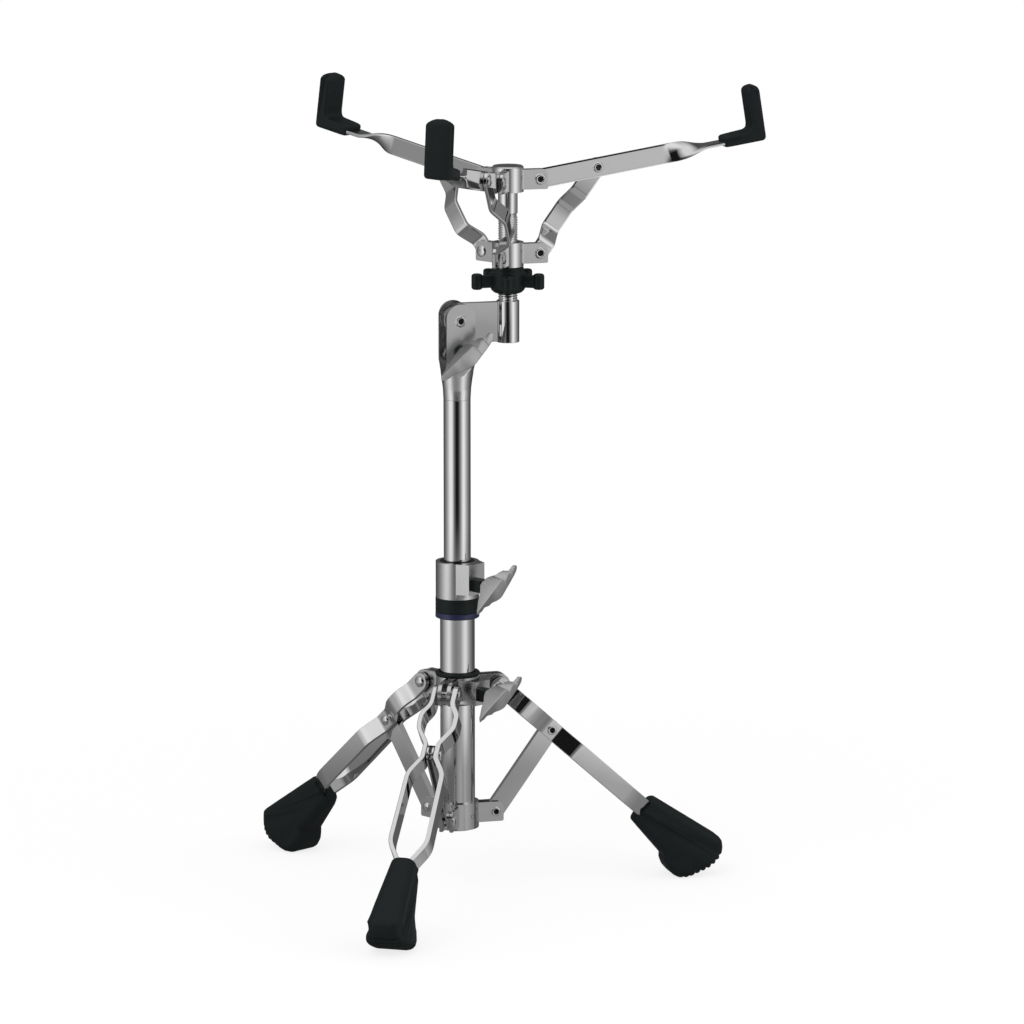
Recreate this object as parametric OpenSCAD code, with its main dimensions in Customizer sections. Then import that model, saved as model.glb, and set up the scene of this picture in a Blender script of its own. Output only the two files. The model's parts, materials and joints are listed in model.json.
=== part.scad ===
/* [Column] */
// Outside diameter of the fixed base tube
base_tube_od = 28.6; // [27.6:0.1:29.6]
// Wall thickness of the base tube
base_tube_wall = 1.5; // [1.3:0.1:1.7]
// Height of the lower end of the base tube above the floor
tube_foot_z = 53; // [48:0.5:58]
// Height of the top of the height clamp above the floor
clamp_top_z = 278.2; // [274:0.2:288]
// Outside diameter of the sliding upper tube
upper_tube_od = 22.2; // [21.2:0.1:22.6]
// Wall thickness of the sliding upper tube
upper_tube_wall = 1.5; // [1.2:0.1:2]
// Length of the upper tube that stands inside the base tube
upper_tube_insert = 88; // [80:1:95]

/* [Height clamp] */
// Height of the cast clamp on top of the base tube
clamp_height = 30; // [28:0.2:34]
// Wall of the cast clamp around the base tube
clamp_wall = 3.5; // [3:0.1:4.2]
// Length of the black plastic sleeve below the clamp
bush_height = 12; // [9:0.2:14]
// Height of the coloured trim ring under the sleeve
trim_height = 5; // [4:0.2:8]
// Distance from the column axis to the face of the clamp boss
clamp_boss = 22.5; // [21.9:0.1:24]
// Half width of the face of the clamp boss
clamp_boss_half = 9; // [8:0.2:9.6]
// Height of the plain lip below the clamp boss
clamp_lip = 4.6; // [3:0.2:6]
// Depth of the clamp bolt below the top of the clamp
clamp_bolt_drop = 17.4; // [15:0.2:18]
// Length of the black spacer between the clamp boss and its wing
clamp_spacer = 8.2; // [6:0.2:9]

/* [Leg set] */
// Compass angle between two neighbouring legs
leg_spacing = 120; // [120:1:120]
// Slope of the opened legs below the horizontal
leg_angle = 42; // [40:0.5:44]
// Radius from the column axis to the leg pivots on the collar
leg_pivot_r = 34; // [33:0.5:36]
// Height of the leg pivots above the floor
leg_pivot_z = 172.7; // [168:0.5:178]
// Distance along a leg from its pivot to the brace rivet
brace_rivet_at = 60.5; // [58:0.5:63]
// Width of the flat leg bars
leg_bar_width = 15; // [13:0.5:15.5]
// Thickness of the flat leg bars
leg_bar_thick = 3.8; // [3.4:0.1:4]
// Half spacing of the two bars of a leg at the collar
leg_half_top = 8.8; // [8.6:0.1:9.4]
// Distance along a leg from its pivot at which the bars start to spread
spread_at = 14.5; // [13.5:0.5:15]
// Distance along a leg from its pivot to the start of the upper bulge
bulge_at = 24.5; // [24:0.5:25.5]
// Distance along a leg from its pivot to the end of the upper bulge
bulge_end = 38; // [36.5:0.5:38.5]
// Half spacing of the two bars in the upper bulge
leg_half_bulge = 14.8; // [13:0.2:16]
// Half spacing of the two bars in the lower loop
leg_half_loop = 15; // [13:0.2:16]
// Gap between the two bars of a leg where the brace is riveted
pinch_gap = 7; // [6.8:0.1:7.6]
// Half spacing of the two bars inside the foot
leg_half_foot = 5.2; // [5:0.1:5.6]
// Length of the bars inside a foot
leg_in_foot = 26; // [24:0.5:28]

/* [Leg collar] */
// Height of the cast leg collar
collar_height = 21.9; // [20:0.2:23]
// Wall of the leg collar around the base tube
collar_wall = 3.4; // [3:0.1:4]
// Distance from the column axis to the face of the collar boss
collar_boss = 29.4; // [28:0.1:30.4]
// Half width of the face of the collar boss
collar_boss_half = 8; // [7:0.2:8.6]
// Length of the black spacer between the collar boss and its wing
collar_spacer = 5.6; // [4:0.2:7]
// Height of the black ring on top of the collar
collar_ring_height = 3.6; // [3:0.2:6]

/* [Braces and lower hub] */
// Radius from the column axis to the brace pivots on the lower hub
brace_pivot_r = 31.3; // [30.5:0.1:32.5]
// Height of the brace pivots above the floor
brace_pivot_z = 65.7; // [64:0.1:68]
// Outside width of the folded brace channel
brace_width = 5.8; // [5.2:0.1:6]
// Depth of the folded brace channel
brace_depth = 15.5; // [14.5:0.1:16]
// Sheet thickness of the brace channel
brace_sheet = 1.5; // [1.2:0.1:1.8]
// Reach of the ears of the hub bands past their pivots
ear_reach = 6.6; // [6:0.1:7.5]
// Corner radius of the ears of the hub bands
ear_corner = 5; // [2:0.1:5.5]
// Radius of the lower corners of the ears of the hub bands
ear_low_corner = 1.4; // [0.6:0.1:2]
// Height of the lower hub band
hub_height = 22; // [20:0.5:24]
// Sheet thickness of the hub bands and their ears
hub_sheet = 2.4; // [2:0.1:2.8]

/* [Feet] */
// Height above the floor at which the bars enter a foot
foot_entry_z = 60.9; // [59:0.1:63]
// Length of a foot from its heel to its toe
foot_length = 79.8; // [77:0.2:84]
// Height of a foot from the floor to its shoulder
foot_height = 68.6; // [67:0.2:70]
// Width of a foot at its sole
foot_width = 37; // [34:0.5:39]
// Width of a foot at its top
foot_top_width = 21.5; // [20.5:0.1:23]

/* [Tilter] */
// Height of the tilter pivot above the floor
tilt_pivot_z = 478.2; // [474:0.5:484]
// Distance from the pivot down to the clamp bolt of the tilter
tilt_bolt_drop = 25; // [24:0.5:26]
// Half width and top radius of the fork cheeks
cheek_r = 12; // [11.6:0.1:13]
// Height of the centre of the round cheek tops above the tilter pivot
cheek_rise = 2; // [0:0.1:3]
// Distance over the outer faces of the two fork cheeks
fork_width = 27; // [25:0.5:29]
// Height of the flared neck under the fork
flare_height = 32; // [28:0.5:36]
// Thickness of each fork cheek
cheek_thick = 3; // [2.5:0.1:3.5]
// Thickness of the tilting bracket plate
bracket_thick = 5; // [4:0.1:6]
// Height of the tilting bracket where it meets the socket
bracket_height = 33; // [30:0.5:34]
// Offset of the basket rod from the column axis
basket_offset = 43; // [42:0.5:46]
// Basket tilt away from the offset side in degrees
tilt_back = 9; // [5:1:9]
// Basket tilt toward the offset side in degrees
tilt_forward = 34; // [20:1:34]

/* [Basket] */
// Diameter of the threaded basket rod
rod_d = 16; // [15:0.1:16.6]
// Height of the arm pivots above the floor
arm_pivot_z = 591; // [586:1:596]
// Radius from the rod axis to the arm and strut pivots
basket_pivot_r = 26.4; // [25.8:0.1:28]
// Drop from the arm pivots to the strut pivots
hub_drop = 60.6; // [59:0.2:62]
// Slope of the arms above the horizontal
arm_angle = 9; // [7:0.5:11]
// Distance along an arm from its pivot to the strut rivet
strut_rivet_at = 50.2; // [48:0.2:52]
// Width of the flat arm bars
arm_width = 16; // [14:0.2:16.4]
// Thickness of the arm bars
arm_thick = 3; // [2.6:0.1:3.2]
// Distance along an arm from its pivot to the outer face of its rubber tip
arm_reach = 193; // [180:1:205]
// Distance from the outer face of a rubber tip back to the start of the twist
twist_from_tip = 81; // [78:0.5:84]
// Length of the quarter twist in an arm
twist_length = 32; // [28:1:36]
// Width of the bent struts
strut_width = 15.5; // [14:0.2:16]
// Thickness of the bent struts
strut_thick = 2.8; // [2.4:0.1:3]
// Sideways bulge of the struts
strut_bulge = 13.3; // [11:0.1:14]
// Height of the rubber tips above the arm bars
tip_height = 43.2; // [40:0.2:46]
// Width of the rubber tips
tip_width = 21.4; // [20:0.2:23]
// Thickness of the upright part of the rubber tips
tip_thick = 10.6; // [10:0.1:12]
// Length of the lower part of the rubber tips along the arm
tip_foot = 36; // [33:0.5:40]
// Depth of the rubber tips below the middle of the arm bars
tip_low = 3.5; // [3.2:0.1:4.5]
// Size of the rounded edges of the rubber tips
tip_round = 5; // [4:0.2:5.2]
// Outside diameter of the top and lower basket hub bands
basket_band_od = 25.8; // [25:0.1:27]
// Height of the basket hub bands
basket_band_height = 20; // [19:0.2:21]

/* [Adjusting nut] */
// Diameter of the round body of the adjusting nut
nut_body_d = 28.4; // [26:0.2:30]
// Height of the adjusting nut
nut_height = 21.6; // [19:0.2:23]
// Distance from the nut axis to the outside of its lobes
nut_reach = 31; // [28:0.5:32]

/* [Pins and wings] */
// Radius of the pivot pins of legs and braces
leg_pin_r = 2.6; // [2.4:0.1:3]
// Radius of the pivot pins of arms and struts
basket_pin_r = 2.4; // [2.2:0.1:2.8]
// Radius of the tilter pivot pin
tilt_pin_r = 3; // [2.6:0.1:3.4]
// Radius of the clamp bolts
bolt_r = 3; // [2.6:0.1:3]
// Distance from the axis of a wing to its longer tip
wing_reach = 30; // [27:0.5:30]
// Height of a wing along its bolt
wing_height = 17; // [15:0.5:19]
// Length of the spacer between the fork and the wing of the tilter
tilt_spacer = 6; // [4:0.2:8]

/* [Clearances] */
// Running clearance of sliding tubes on the radius
slide_gap = 0.05; // [0.03:0.01:0.08]
// Running clearance of pins in their bores on the radius
pin_gap = 0.06; // [0.04:0.01:0.09]
// Gap between flat faces that turn past each other
face_gap = 0.2; // [0.15:0.05:0.3]
// Clearance of the tilter bolt in its curved slot
slot_gap = 0.3; // [0.2:0.05:0.5]
// Slack on the radius of the free rivet holes of braces and struts
link_slack = 1.7; // [1.6:0.05:1.9]
// Gap around a bar inside its rubber part
rubber_gap = 0.05; // [0.02:0.01:0.1]

/* [Hidden] */
$fn = 64;
chrome = [0.80, 0.81, 0.83];
cast = [0.62, 0.63, 0.65];
rubber = [0.10, 0.11, 0.12];
plastic = [0.06, 0.06, 0.07];
violet = [0.16, 0.15, 0.36];

base_r = base_tube_od / 2;
base_in_r = base_r - base_tube_wall;
upper_r = upper_tube_od / 2;
base_top_z = clamp_top_z - 3.4;
clamp_z0 = clamp_top_z - clamp_height;
bush_z0 = clamp_z0 - bush_height;
trim_z0 = bush_z0 - trim_height;
clamp_r = base_r + clamp_wall;
clamp_bolt_z = clamp_top_z - clamp_bolt_drop;
sleeve_out_r = base_in_r - slide_gap;
sleeve_in_r = upper_r + slide_gap;
sleeve_z0 = base_top_z - 46;
upper_z0 = clamp_top_z - upper_tube_insert;
plug_h = 4;
wing_hub_r = 5;
wing_bore = 8.5;
wing_stem = 7.5;
spacer_half = 5;
spacer_seat = 2.4;

collar_z0 = leg_pivot_z - 12.2;
collar_r = base_r + collar_wall;
collar_bolt_z = leg_pivot_z - 2.6;
lug_thick = 3.2;
lug_mid = leg_half_top - leg_bar_thick / 2 - 1.4 - lug_thick / 2;
leg_end_z = foot_entry_z;
leg_run = (leg_pivot_z - leg_end_z) / sin(leg_angle);
entry_r = leg_pivot_r + leg_run * cos(leg_angle);
pinch_half = pinch_gap / 2 + leg_bar_thick / 2;
rivet_r = leg_pivot_r + brace_rivet_at * cos(leg_angle);
rivet_z = leg_pivot_z - brace_rivet_at * sin(leg_angle);
brace_len = norm([rivet_r - brace_pivot_r, rivet_z - brace_pivot_z]);
brace_angle = atan2(rivet_z - brace_pivot_z, rivet_r - brace_pivot_r);
hub_z0 = brace_pivot_z - hub_height / 2 - 0.6;
hub_r = base_r + 3.2;
hub_ear_in = brace_width / 2 + face_gap;
hub_ear_h = hub_height - 5.4;

cheek_out = fork_width / 2;
cheek_in = cheek_out - cheek_thick;
tilt_bolt_z = tilt_pivot_z - tilt_bolt_drop;
sector_r = tilt_bolt_drop + bolt_r + 4;
fork_floor_z = tilt_pivot_z - sector_r - 1.5;
flare_z0 = fork_floor_z - flare_height;
bracket_half = bracket_thick / 2;
socket_r = rod_d / 2 + 1.4;
bracket_top_z = tilt_pivot_z + 13.4;
socket_z0 = bracket_top_z - bracket_height - 0.6;
socket_z1 = bracket_top_z + 0.6;

rod_r = rod_d / 2;
arm_run = strut_rivet_at * cos(arm_angle);
arm_rise = strut_rivet_at * sin(arm_angle);
strut_pivot_z = arm_pivot_z - hub_drop;
strut_len = norm([arm_run, hub_drop + arm_rise]);
strut_angle = atan2(hub_drop + arm_rise, arm_run);
band_r = basket_band_od / 2;
top_band_z0 = arm_pivot_z - basket_band_height / 2 + 0.3;
low_band_z0 = strut_pivot_z - basket_band_height / 2 - 0.1;
basket_ear_in = arm_thick / 2 + face_gap;
basket_ear_half = basket_band_height / 2 - 1.8;
strut_out = arm_thick / 2 + face_gap + strut_thick / 2;
rod_z0 = socket_z0 + 3;
rod_z1 = top_band_z0 + basket_band_height - 1.2;
nut_z1 = low_band_z0 - face_gap;
nut_z0 = nut_z1 - nut_height;
strip_h = arm_thick;
twist_x0 = arm_reach - twist_from_tip;
twist_x1 = twist_x0 + twist_length;

function unit(v) = v / norm(v);
function perp(v) = [-v[1], v[0]];
function side(p, i, h) =
    let (n = len(p),
         a = i > 0 ? unit(p[i] - p[i - 1]) : unit(p[1] - p[0]),
         b = i < n - 1 ? unit(p[i + 1] - p[i]) : a,
         m = unit(perp(a) + perp(b)))
    p[i] + m * (h / (m * perp(a)));
function ribbon(p, h) = concat([for (i = [0:len(p) - 1]) side(p, i, h)],
                               [for (i = [len(p) - 1:-1:0]) side(p, i, -h)]);
function bend(p, t) =
    concat([p[0]],
           [for (i = [1:len(p) - 2])
                let (s = is_list(t) ? t[i] : t,
                     a = p[i] - s * unit(p[i] - p[i - 1]),
                     c = p[i] + s * unit(p[i + 1] - p[i]))
                for (u = [0, 0.2, 0.4, 0.6, 0.8, 1])
                    (1 - u) * (1 - u) * a + 2 * u * (1 - u) * p[i] + u * u * c],
           [p[len(p) - 1]]);

// Round bar between two heights on the local Z axis
module rod_z(r, z0, z1) { translate([0, 0, z0]) cylinder(h = z1 - z0, r = r); }

// Tube between two heights
module tube_z(ro, ri, z0, z1) {
    difference() {
        rod_z(ro, z0, z1);
        rod_z(ri, z0 - 1, z1 + 1);
    }
}

// Pin along local Y from y0 to y1
module pin_y(r, y0, y1) { translate([0, y1, 0]) rotate([90, 0, 0]) cylinder(h = y1 - y0, r = r); }

// Low domed rivet head that rises from y = 0 toward +Y
module head_y(r, h) {
    rotate([-90, 0, 0]) rotate_extrude()
        polygon([[0, 0], [r, 0], [r * 0.97, h * 0.35], [r * 0.8, h * 0.75], [r * 0.5, h * 0.97], [0, h]]);
}

// Rivet along local Y with a head at each end
module rivet_y(r, y0, y1, hr, hh) {
    pin_y(r, y0 - 0.2, y1 + 0.2);
    translate([0, y1, 0]) head_y(hr, hh);
    translate([0, y0, 0]) rotate([0, 0, 180]) head_y(hr, hh);
}

// Flat plate in the local XZ plane with a round outer end
module tab(len, half, y0, y1, x0) {
    translate([0, y1, 0]) rotate([90, 0, 0]) linear_extrude(height = y1 - y0) {
        circle(r = half);
        translate([x0, -half]) square([-x0, 2 * half]);
    }
}

// Rounded rectangle from x0 to x1 with half width w
module rounded(x0, x1, w, r) {
    for (x = [x0 + r, x1 - r], y = [-w + r, w - r]) translate([x, y]) circle(r = r);
    translate([x0 + r, -w]) square([x1 - x0 - 2 * r, 2 * w]);
    translate([x0, -w + r]) square([x1 - x0, 2 * (w - r)]);
}

// Flat ear in the local XZ plane, rounded wide at its upper and close at its lower outer corner
module ear(half, x0) {
    translate([0, hub_sheet / 2, 0]) rotate([90, 0, 0]) linear_extrude(height = hub_sheet) {
        translate([x0, -half]) square([ear_reach - ear_corner - x0, 2 * half]);
        translate([x0, -half]) square([ear_reach - ear_low_corner - x0, half]);
        translate([x0, ear_low_corner - half]) square([ear_reach - x0, 2 * half - ear_corner - ear_low_corner]);
        translate([ear_reach - ear_corner, half - ear_corner]) circle(r = ear_corner);
        translate([ear_reach - ear_low_corner, ear_low_corner - half]) circle(r = ear_low_corner);
    }
}

// Slot shape that trims both ends of a bar round
module round_ends(len, half, wide) {
    rotate([90, 0, 0]) linear_extrude(height = wide, center = true) {
        circle(r = half);
        translate([len, 0]) circle(r = half);
        translate([0, -half]) square([len, 2 * half]);
    }
}

// Black spacer and its seat: local X out of a boss, origin on the face
module spacer(len) {
    difference() {
        translate([-spacer_seat, -spacer_half, -spacer_half])
            cube([spacer_seat + len, 2 * spacer_half, 2 * spacer_half]);
        translate([-spacer_seat - 1, 0, 0]) rotate([0, 90, 0]) cylinder(h = len + spacer_seat + 2, r = bolt_r);
    }
}

// Winged handle: local Z along the bolt, origin on the clamped face
module wing(depth) {
    leaf = [[-1, -0.02], [-0.99, 0.05], [-0.93, 0.073], [0.25, 0.073], [0.27, -0.01], [0.48, 0.04],
            [0.55, 0.033], [0.57, -0.12], [0.8, -0.02], [0.91, 0.027], [0.93, -0.027], [0.85, -0.1],
            [0.49, -0.23], [0.19, -0.283], [-0.02, -0.31], [-0.37, -0.243], [-0.68, -0.123], [-0.93, -0.053]];
    back = [[-0.9, -0.03], [-0.9, 0.05], [0.22, 0.06], [0.45, 0.01], [0.56, -0.13], [0.45, -0.21], [0, -0.28],
            [-0.37, -0.21]];
    difference() {
        union() {
            cylinder(h = wing_height - 4, r = wing_hub_r);
            translate([0, 0, wing_height - 3]) linear_extrude(height = 3)
                polygon([for (q = leaf) q * wing_reach]);
            hull() {
                translate([-wing_hub_r, -4, 2]) cube([2 * wing_hub_r, 6, 1]);
                translate([0, 0, wing_height - 3]) linear_extrude(height = 0.6)
                    polygon([for (q = back) q * wing_reach]);
            }
        }
        translate([0, 0, -1]) cylinder(h = depth + 1, r = bolt_r + pin_gap);
    }
}

module base_tube() {
    color(chrome) difference() {
        tube_z(base_r, base_in_r, tube_foot_z, base_top_z);
        rotate([0, 0, 300]) translate([0, 0, clamp_bolt_z]) rotate([0, 90, 0])
            cylinder(h = base_tube_od, r = bolt_r);
    }
}

module tube_plug() {
    color(plastic) difference() {
        rod_z(base_in_r, tube_foot_z, tube_foot_z + plug_h);
        rod_z(4, tube_foot_z - 1, tube_foot_z + plug_h + 1);
    }
}

module height_clamp() {
    color(cast) difference() {
        union() {
            rod_z(clamp_r, clamp_z0, clamp_top_z);
            rotate([0, 0, 300]) translate([0, 0, clamp_z0 + clamp_lip])
                linear_extrude(height = clamp_height - clamp_lip)
                    polygon([[0, 0], [0.63 * clamp_r, -0.76 * clamp_r], [clamp_boss, -clamp_boss_half],
                             [clamp_boss, clamp_boss_half], [0.63 * clamp_r, 0.76 * clamp_r]]);
        }
        rod_z(base_r, clamp_z0 - 1, clamp_top_z + 1);
        rotate([0, 0, 300]) translate([clamp_boss - spacer_seat, -spacer_half, clamp_bolt_z - spacer_half])
            cube([spacer_seat + 1, 2 * spacer_half, 2 * spacer_half]);
        rotate([0, 0, 300]) translate([0, 0, clamp_bolt_z]) rotate([0, 90, 0])
            cylinder(h = clamp_boss + 1, r = bolt_r);
    }
}

module clamp_nut() {
    color(plastic) rotate([0, 0, 300]) translate([clamp_boss, 0, clamp_bolt_z]) spacer(clamp_spacer);
}

module clamp_bolt() {
    color(chrome) rotate([0, 0, 300]) translate([base_in_r + 0.3, 0, clamp_bolt_z]) rotate([0, 90, 0])
        cylinder(h = clamp_boss + clamp_spacer + wing_stem - base_in_r - 0.3, r = bolt_r);
}

module base_bush() {
    color(plastic) tube_z(clamp_r + 0.2, base_r, bush_z0, clamp_z0);
}

module trim_ring() {
    color(violet) tube_z(clamp_r + 0.3, base_r, trim_z0, bush_z0);
}

module clamp_wing() {
    color(cast) rotate([0, 0, 300]) translate([clamp_boss + clamp_spacer + face_gap, 0, clamp_bolt_z])
        rotate([0, 90, 0]) rotate([0, 0, 128]) wing(wing_bore);
}

module swivel_sleeve() {
    color(plastic) difference() {
        union() {
            rod_z(sleeve_out_r, sleeve_z0, base_top_z + 1);
            rod_z(base_r - slide_gap, base_top_z + face_gap, clamp_top_z - 0.6);
        }
        rod_z(sleeve_in_r, sleeve_z0 - 1, clamp_top_z + 1);
    }
}

module leg_hub() {
    color(chrome) difference() {
        union() {
            rod_z(hub_r, hub_z0, hub_z0 + hub_height);
            for (k = [0:2]) rotate([0, 0, k * leg_spacing]) for (m = [-1, 1])
                translate([brace_pivot_r, m * (hub_ear_in + hub_sheet / 2), brace_pivot_z])
                    ear(hub_ear_h / 2, -(brace_pivot_r - base_r - 1));
        }
        rod_z(base_r, hub_z0 - 1, hub_z0 + hub_height + 1);
        for (k = [0:2]) rotate([0, 0, k * leg_spacing])
            translate([brace_pivot_r, 0, brace_pivot_z]) pin_y(leg_pin_r, -20, 20);
        rotate([0, 0, 300]) translate([base_r, 0, brace_pivot_z]) rotate([0, 90, 0]) cylinder(h = 6, r = 1.4);
    }
}

module leg_hub_rivets() {
    color(chrome) for (k = [0:2]) rotate([0, 0, k * leg_spacing])
        translate([brace_pivot_r, 0, brace_pivot_z])
            rivet_y(leg_pin_r, -(hub_ear_in + hub_sheet), hub_ear_in + hub_sheet, 4.1, 1.7);
}

module brace() {
    color(chrome) translate([brace_pivot_r, 0, brace_pivot_z]) rotate([0, -brace_angle, 0]) difference() {
        intersection() {
            translate([-brace_depth, -brace_width / 2, -brace_depth / 2])
                cube([brace_len + 2 * brace_depth, brace_width, brace_depth]);
            round_ends(brace_len, brace_depth / 2, 2 * brace_width);
        }
        translate([-2 * brace_depth, -brace_width / 2 + brace_sheet, -brace_depth / 2 - brace_sheet])
            cube([brace_len + 4 * brace_depth, brace_width - 2 * brace_sheet, brace_depth]);
        pin_y(leg_pin_r + pin_gap, -20, 20);
        translate([brace_len, 0, 0]) pin_y(leg_pin_r + link_slack, -20, 20);
    }
}

module leg_collar() {
    color(cast) difference() {
        union() {
            rod_z(collar_r, collar_z0, collar_z0 + collar_height);
            for (k = [0:2]) rotate([0, 0, k * leg_spacing]) for (m = [-1, 1]) {
                translate([leg_pivot_r, m * lug_mid, leg_pivot_z])
                    tab(0, 9.6, -lug_thick / 2, lug_thick / 2, -(leg_pivot_r - base_r - 1));
                translate([leg_pivot_r, 0, leg_pivot_z])
                    pin_y(5.2, m > 0 ? lug_mid : -(leg_half_top - leg_bar_thick / 2 - face_gap),
                          m > 0 ? leg_half_top - leg_bar_thick / 2 - face_gap : -lug_mid);
            }
            rotate([0, 0, 300]) translate([0, 0, collar_z0 + 1]) linear_extrude(height = collar_height - 2)
                polygon([[0, 0], [0.7 * collar_r, -0.69 * collar_r], [collar_boss, -collar_boss_half],
                         [collar_boss, collar_boss_half], [0.7 * collar_r, 0.69 * collar_r]]);
        }
        rotate([0, 0, 300]) translate([collar_boss - spacer_seat, -spacer_half, collar_bolt_z - spacer_half])
            cube([spacer_seat + 1, 2 * spacer_half, 2 * spacer_half]);
        rod_z(base_r + slide_gap, collar_z0 - 1, collar_z0 + collar_height + 1);
        for (k = [0:2]) rotate([0, 0, k * leg_spacing])
            translate([leg_pivot_r, 0, leg_pivot_z]) pin_y(leg_pin_r, -20, 20);
        rotate([0, 0, 300]) translate([base_r, 0, collar_bolt_z]) rotate([0, 90, 0])
            cylinder(h = collar_boss, r = bolt_r);
    }
}

module collar_ring() {
    color(plastic) difference() {
        union() {
            rod_z(collar_r, collar_z0 + collar_height, collar_z0 + collar_height + collar_ring_height - 1.5);
            translate([0, 0, collar_z0 + collar_height + collar_ring_height - 1.5])
                cylinder(h = 1.5, r1 = collar_r, r2 = collar_r - 1.2);
        }
        rod_z(base_r + slide_gap, collar_z0, collar_z0 + 2 * collar_height);
    }
}

module collar_nut() {
    color(plastic) rotate([0, 0, 300]) translate([collar_boss, 0, collar_bolt_z]) spacer(collar_spacer);
}

module collar_bolt() {
    color(chrome) rotate([0, 0, 300]) translate([base_r + 0.4, 0, collar_bolt_z]) rotate([0, 90, 0])
        cylinder(h = collar_boss + collar_spacer + wing_stem - base_r - 0.4, r = bolt_r);
}

module collar_wing() {
    color(cast) rotate([0, 0, 300]) translate([collar_boss + collar_spacer + face_gap, 0, collar_bolt_z])
        rotate([0, 90, 0]) rotate([0, 0, 122]) wing(wing_bore);
}

module collar_rivets() {
    y = leg_half_top + leg_bar_thick / 2 + face_gap;
    color(chrome) for (k = [0:2]) rotate([0, 0, k * leg_spacing])
        translate([leg_pivot_r, 0, leg_pivot_z]) rivet_y(leg_pin_r, -y, y, 4.8, 2);
}

// Centre line of one leg bar in the plane of the bars
function bar_line() = bend([[-leg_bar_width, leg_half_top], [spread_at, leg_half_top], [bulge_at, leg_half_bulge],
    [bulge_end, leg_half_bulge], [brace_rivet_at - 6.8, pinch_half], [brace_rivet_at + 6.8, pinch_half],
    [brace_rivet_at + 22.5, leg_half_loop - 0.6], [leg_run - 16.5, leg_half_loop + 0.4],
    [leg_run + 2, leg_half_foot], [leg_run + leg_in_foot, leg_half_foot]],
    [0, 4, 4, 4.6, 2.2, 2.2, 5, 6, 2.6]);

module leg_frame() { translate([leg_pivot_r, 0, leg_pivot_z]) rotate([0, leg_angle, 0]) children(); }

module bar_solid(m, grow) {
    intersection() {
        linear_extrude(height = leg_bar_width + 2 * grow, center = true)
            scale([1, m]) polygon(ribbon(bar_line(), leg_bar_thick / 2 + grow));
        rotate([90, 0, 0]) linear_extrude(height = 4 * leg_half_loop, center = true) {
            circle(r = leg_bar_width / 2 + grow);
            translate([0, -leg_bar_width / 2 - grow])
                square([leg_run + leg_in_foot + grow, leg_bar_width + 2 * grow]);
        }
    }
}

module leg_bar(m) {
    color(chrome) leg_frame() difference() {
        bar_solid(m, 0);
        pin_y(leg_pin_r + pin_gap, -20, 20);
        translate([brace_rivet_at, 0, 0]) pin_y(leg_pin_r, -20, 20);
    }
}

module leg_rivet() {
    y = pinch_half + leg_bar_thick / 2;
    color(chrome) leg_frame() translate([brace_rivet_at, 0, 0]) rivet_y(leg_pin_r, -y, y, 4.3, 1.9);
}

module foot() {
    w = foot_width / 2;
    t = foot_top_width / 2;
    u = foot_length / 79.8;
    h = foot_height / 68.6;
    color(rubber) difference() {
        intersection() {
            translate([entry_r, 0, 0]) rotate([90, 0, 0]) linear_extrude(height = 2 * foot_width, center = true)
                scale([u, h]) polygon([[-9, 50.4], [-7.6, 53.6], [8.2, 68.4], [11.4, 68.6], [66, 32.4],
                    [69.4, 28.4], [70.6, 23], [69.6, 18.4], [66, 14], [61, 9.8], [55, 6.2], [46, 2.8], [38, 0],
                    [30, 0], [25.5, 2.4], [20.6, 8], [17.8, 13.4], [18, 18.6]]);
            rotate([90, 0, 90]) linear_extrude(height = entry_r + foot_length)
                scale([1, h]) polygon([[-w + 9, 0], [-w + 5.5, 0.9], [-w + 2.6, 3.2], [-w + 0.8, 7], [-w, 12],
                    [-w + 0.6, 20], [-(w * 0.4 + t * 0.6), 43], [-t, 62], [-t + 0.8, 66], [-t + 3, 70],
                    [t - 3, 70], [t - 0.8, 66], [t, 62], [w * 0.4 + t * 0.6, 43], [w - 0.6, 20], [w, 12], [w - 0.8, 7],
                    [w - 2.6, 3.2], [w - 5.5, 0.9], [w - 9, 0]]);
            translate([entry_r, 0, -1]) linear_extrude(height = foot_height + 2)
                scale([u, 1]) polygon([[-9.2, -t + 4.6], [-7, -t + 1.6], [-3, -t], [17.6, -w + 7],
                    [21, -w + 3.4], [26, -w + 1.2], [34, -w], [56, -w], [62, -w + 2], [66.5, -w + 5.6],
                    [69.4, -w + 10], [70.7, -w + 15], [70.7, w - 15], [69.4, w - 10], [66.5, w - 5.6], [62, w - 2],
                    [56, w], [34, w], [26, w - 1.2], [21, w - 3.4], [17.6, w - 7], [-3, t], [-7, t - 1.6],
                    [-9.2, t - 4.6]]);
        }
        leg_frame() for (m = [-1, 1]) bar_solid(m, rubber_gap);
    }
}

module upper_tube() {
    color(chrome) tube_z(upper_r, upper_r - upper_tube_wall, upper_z0, flare_z0);
}

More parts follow.
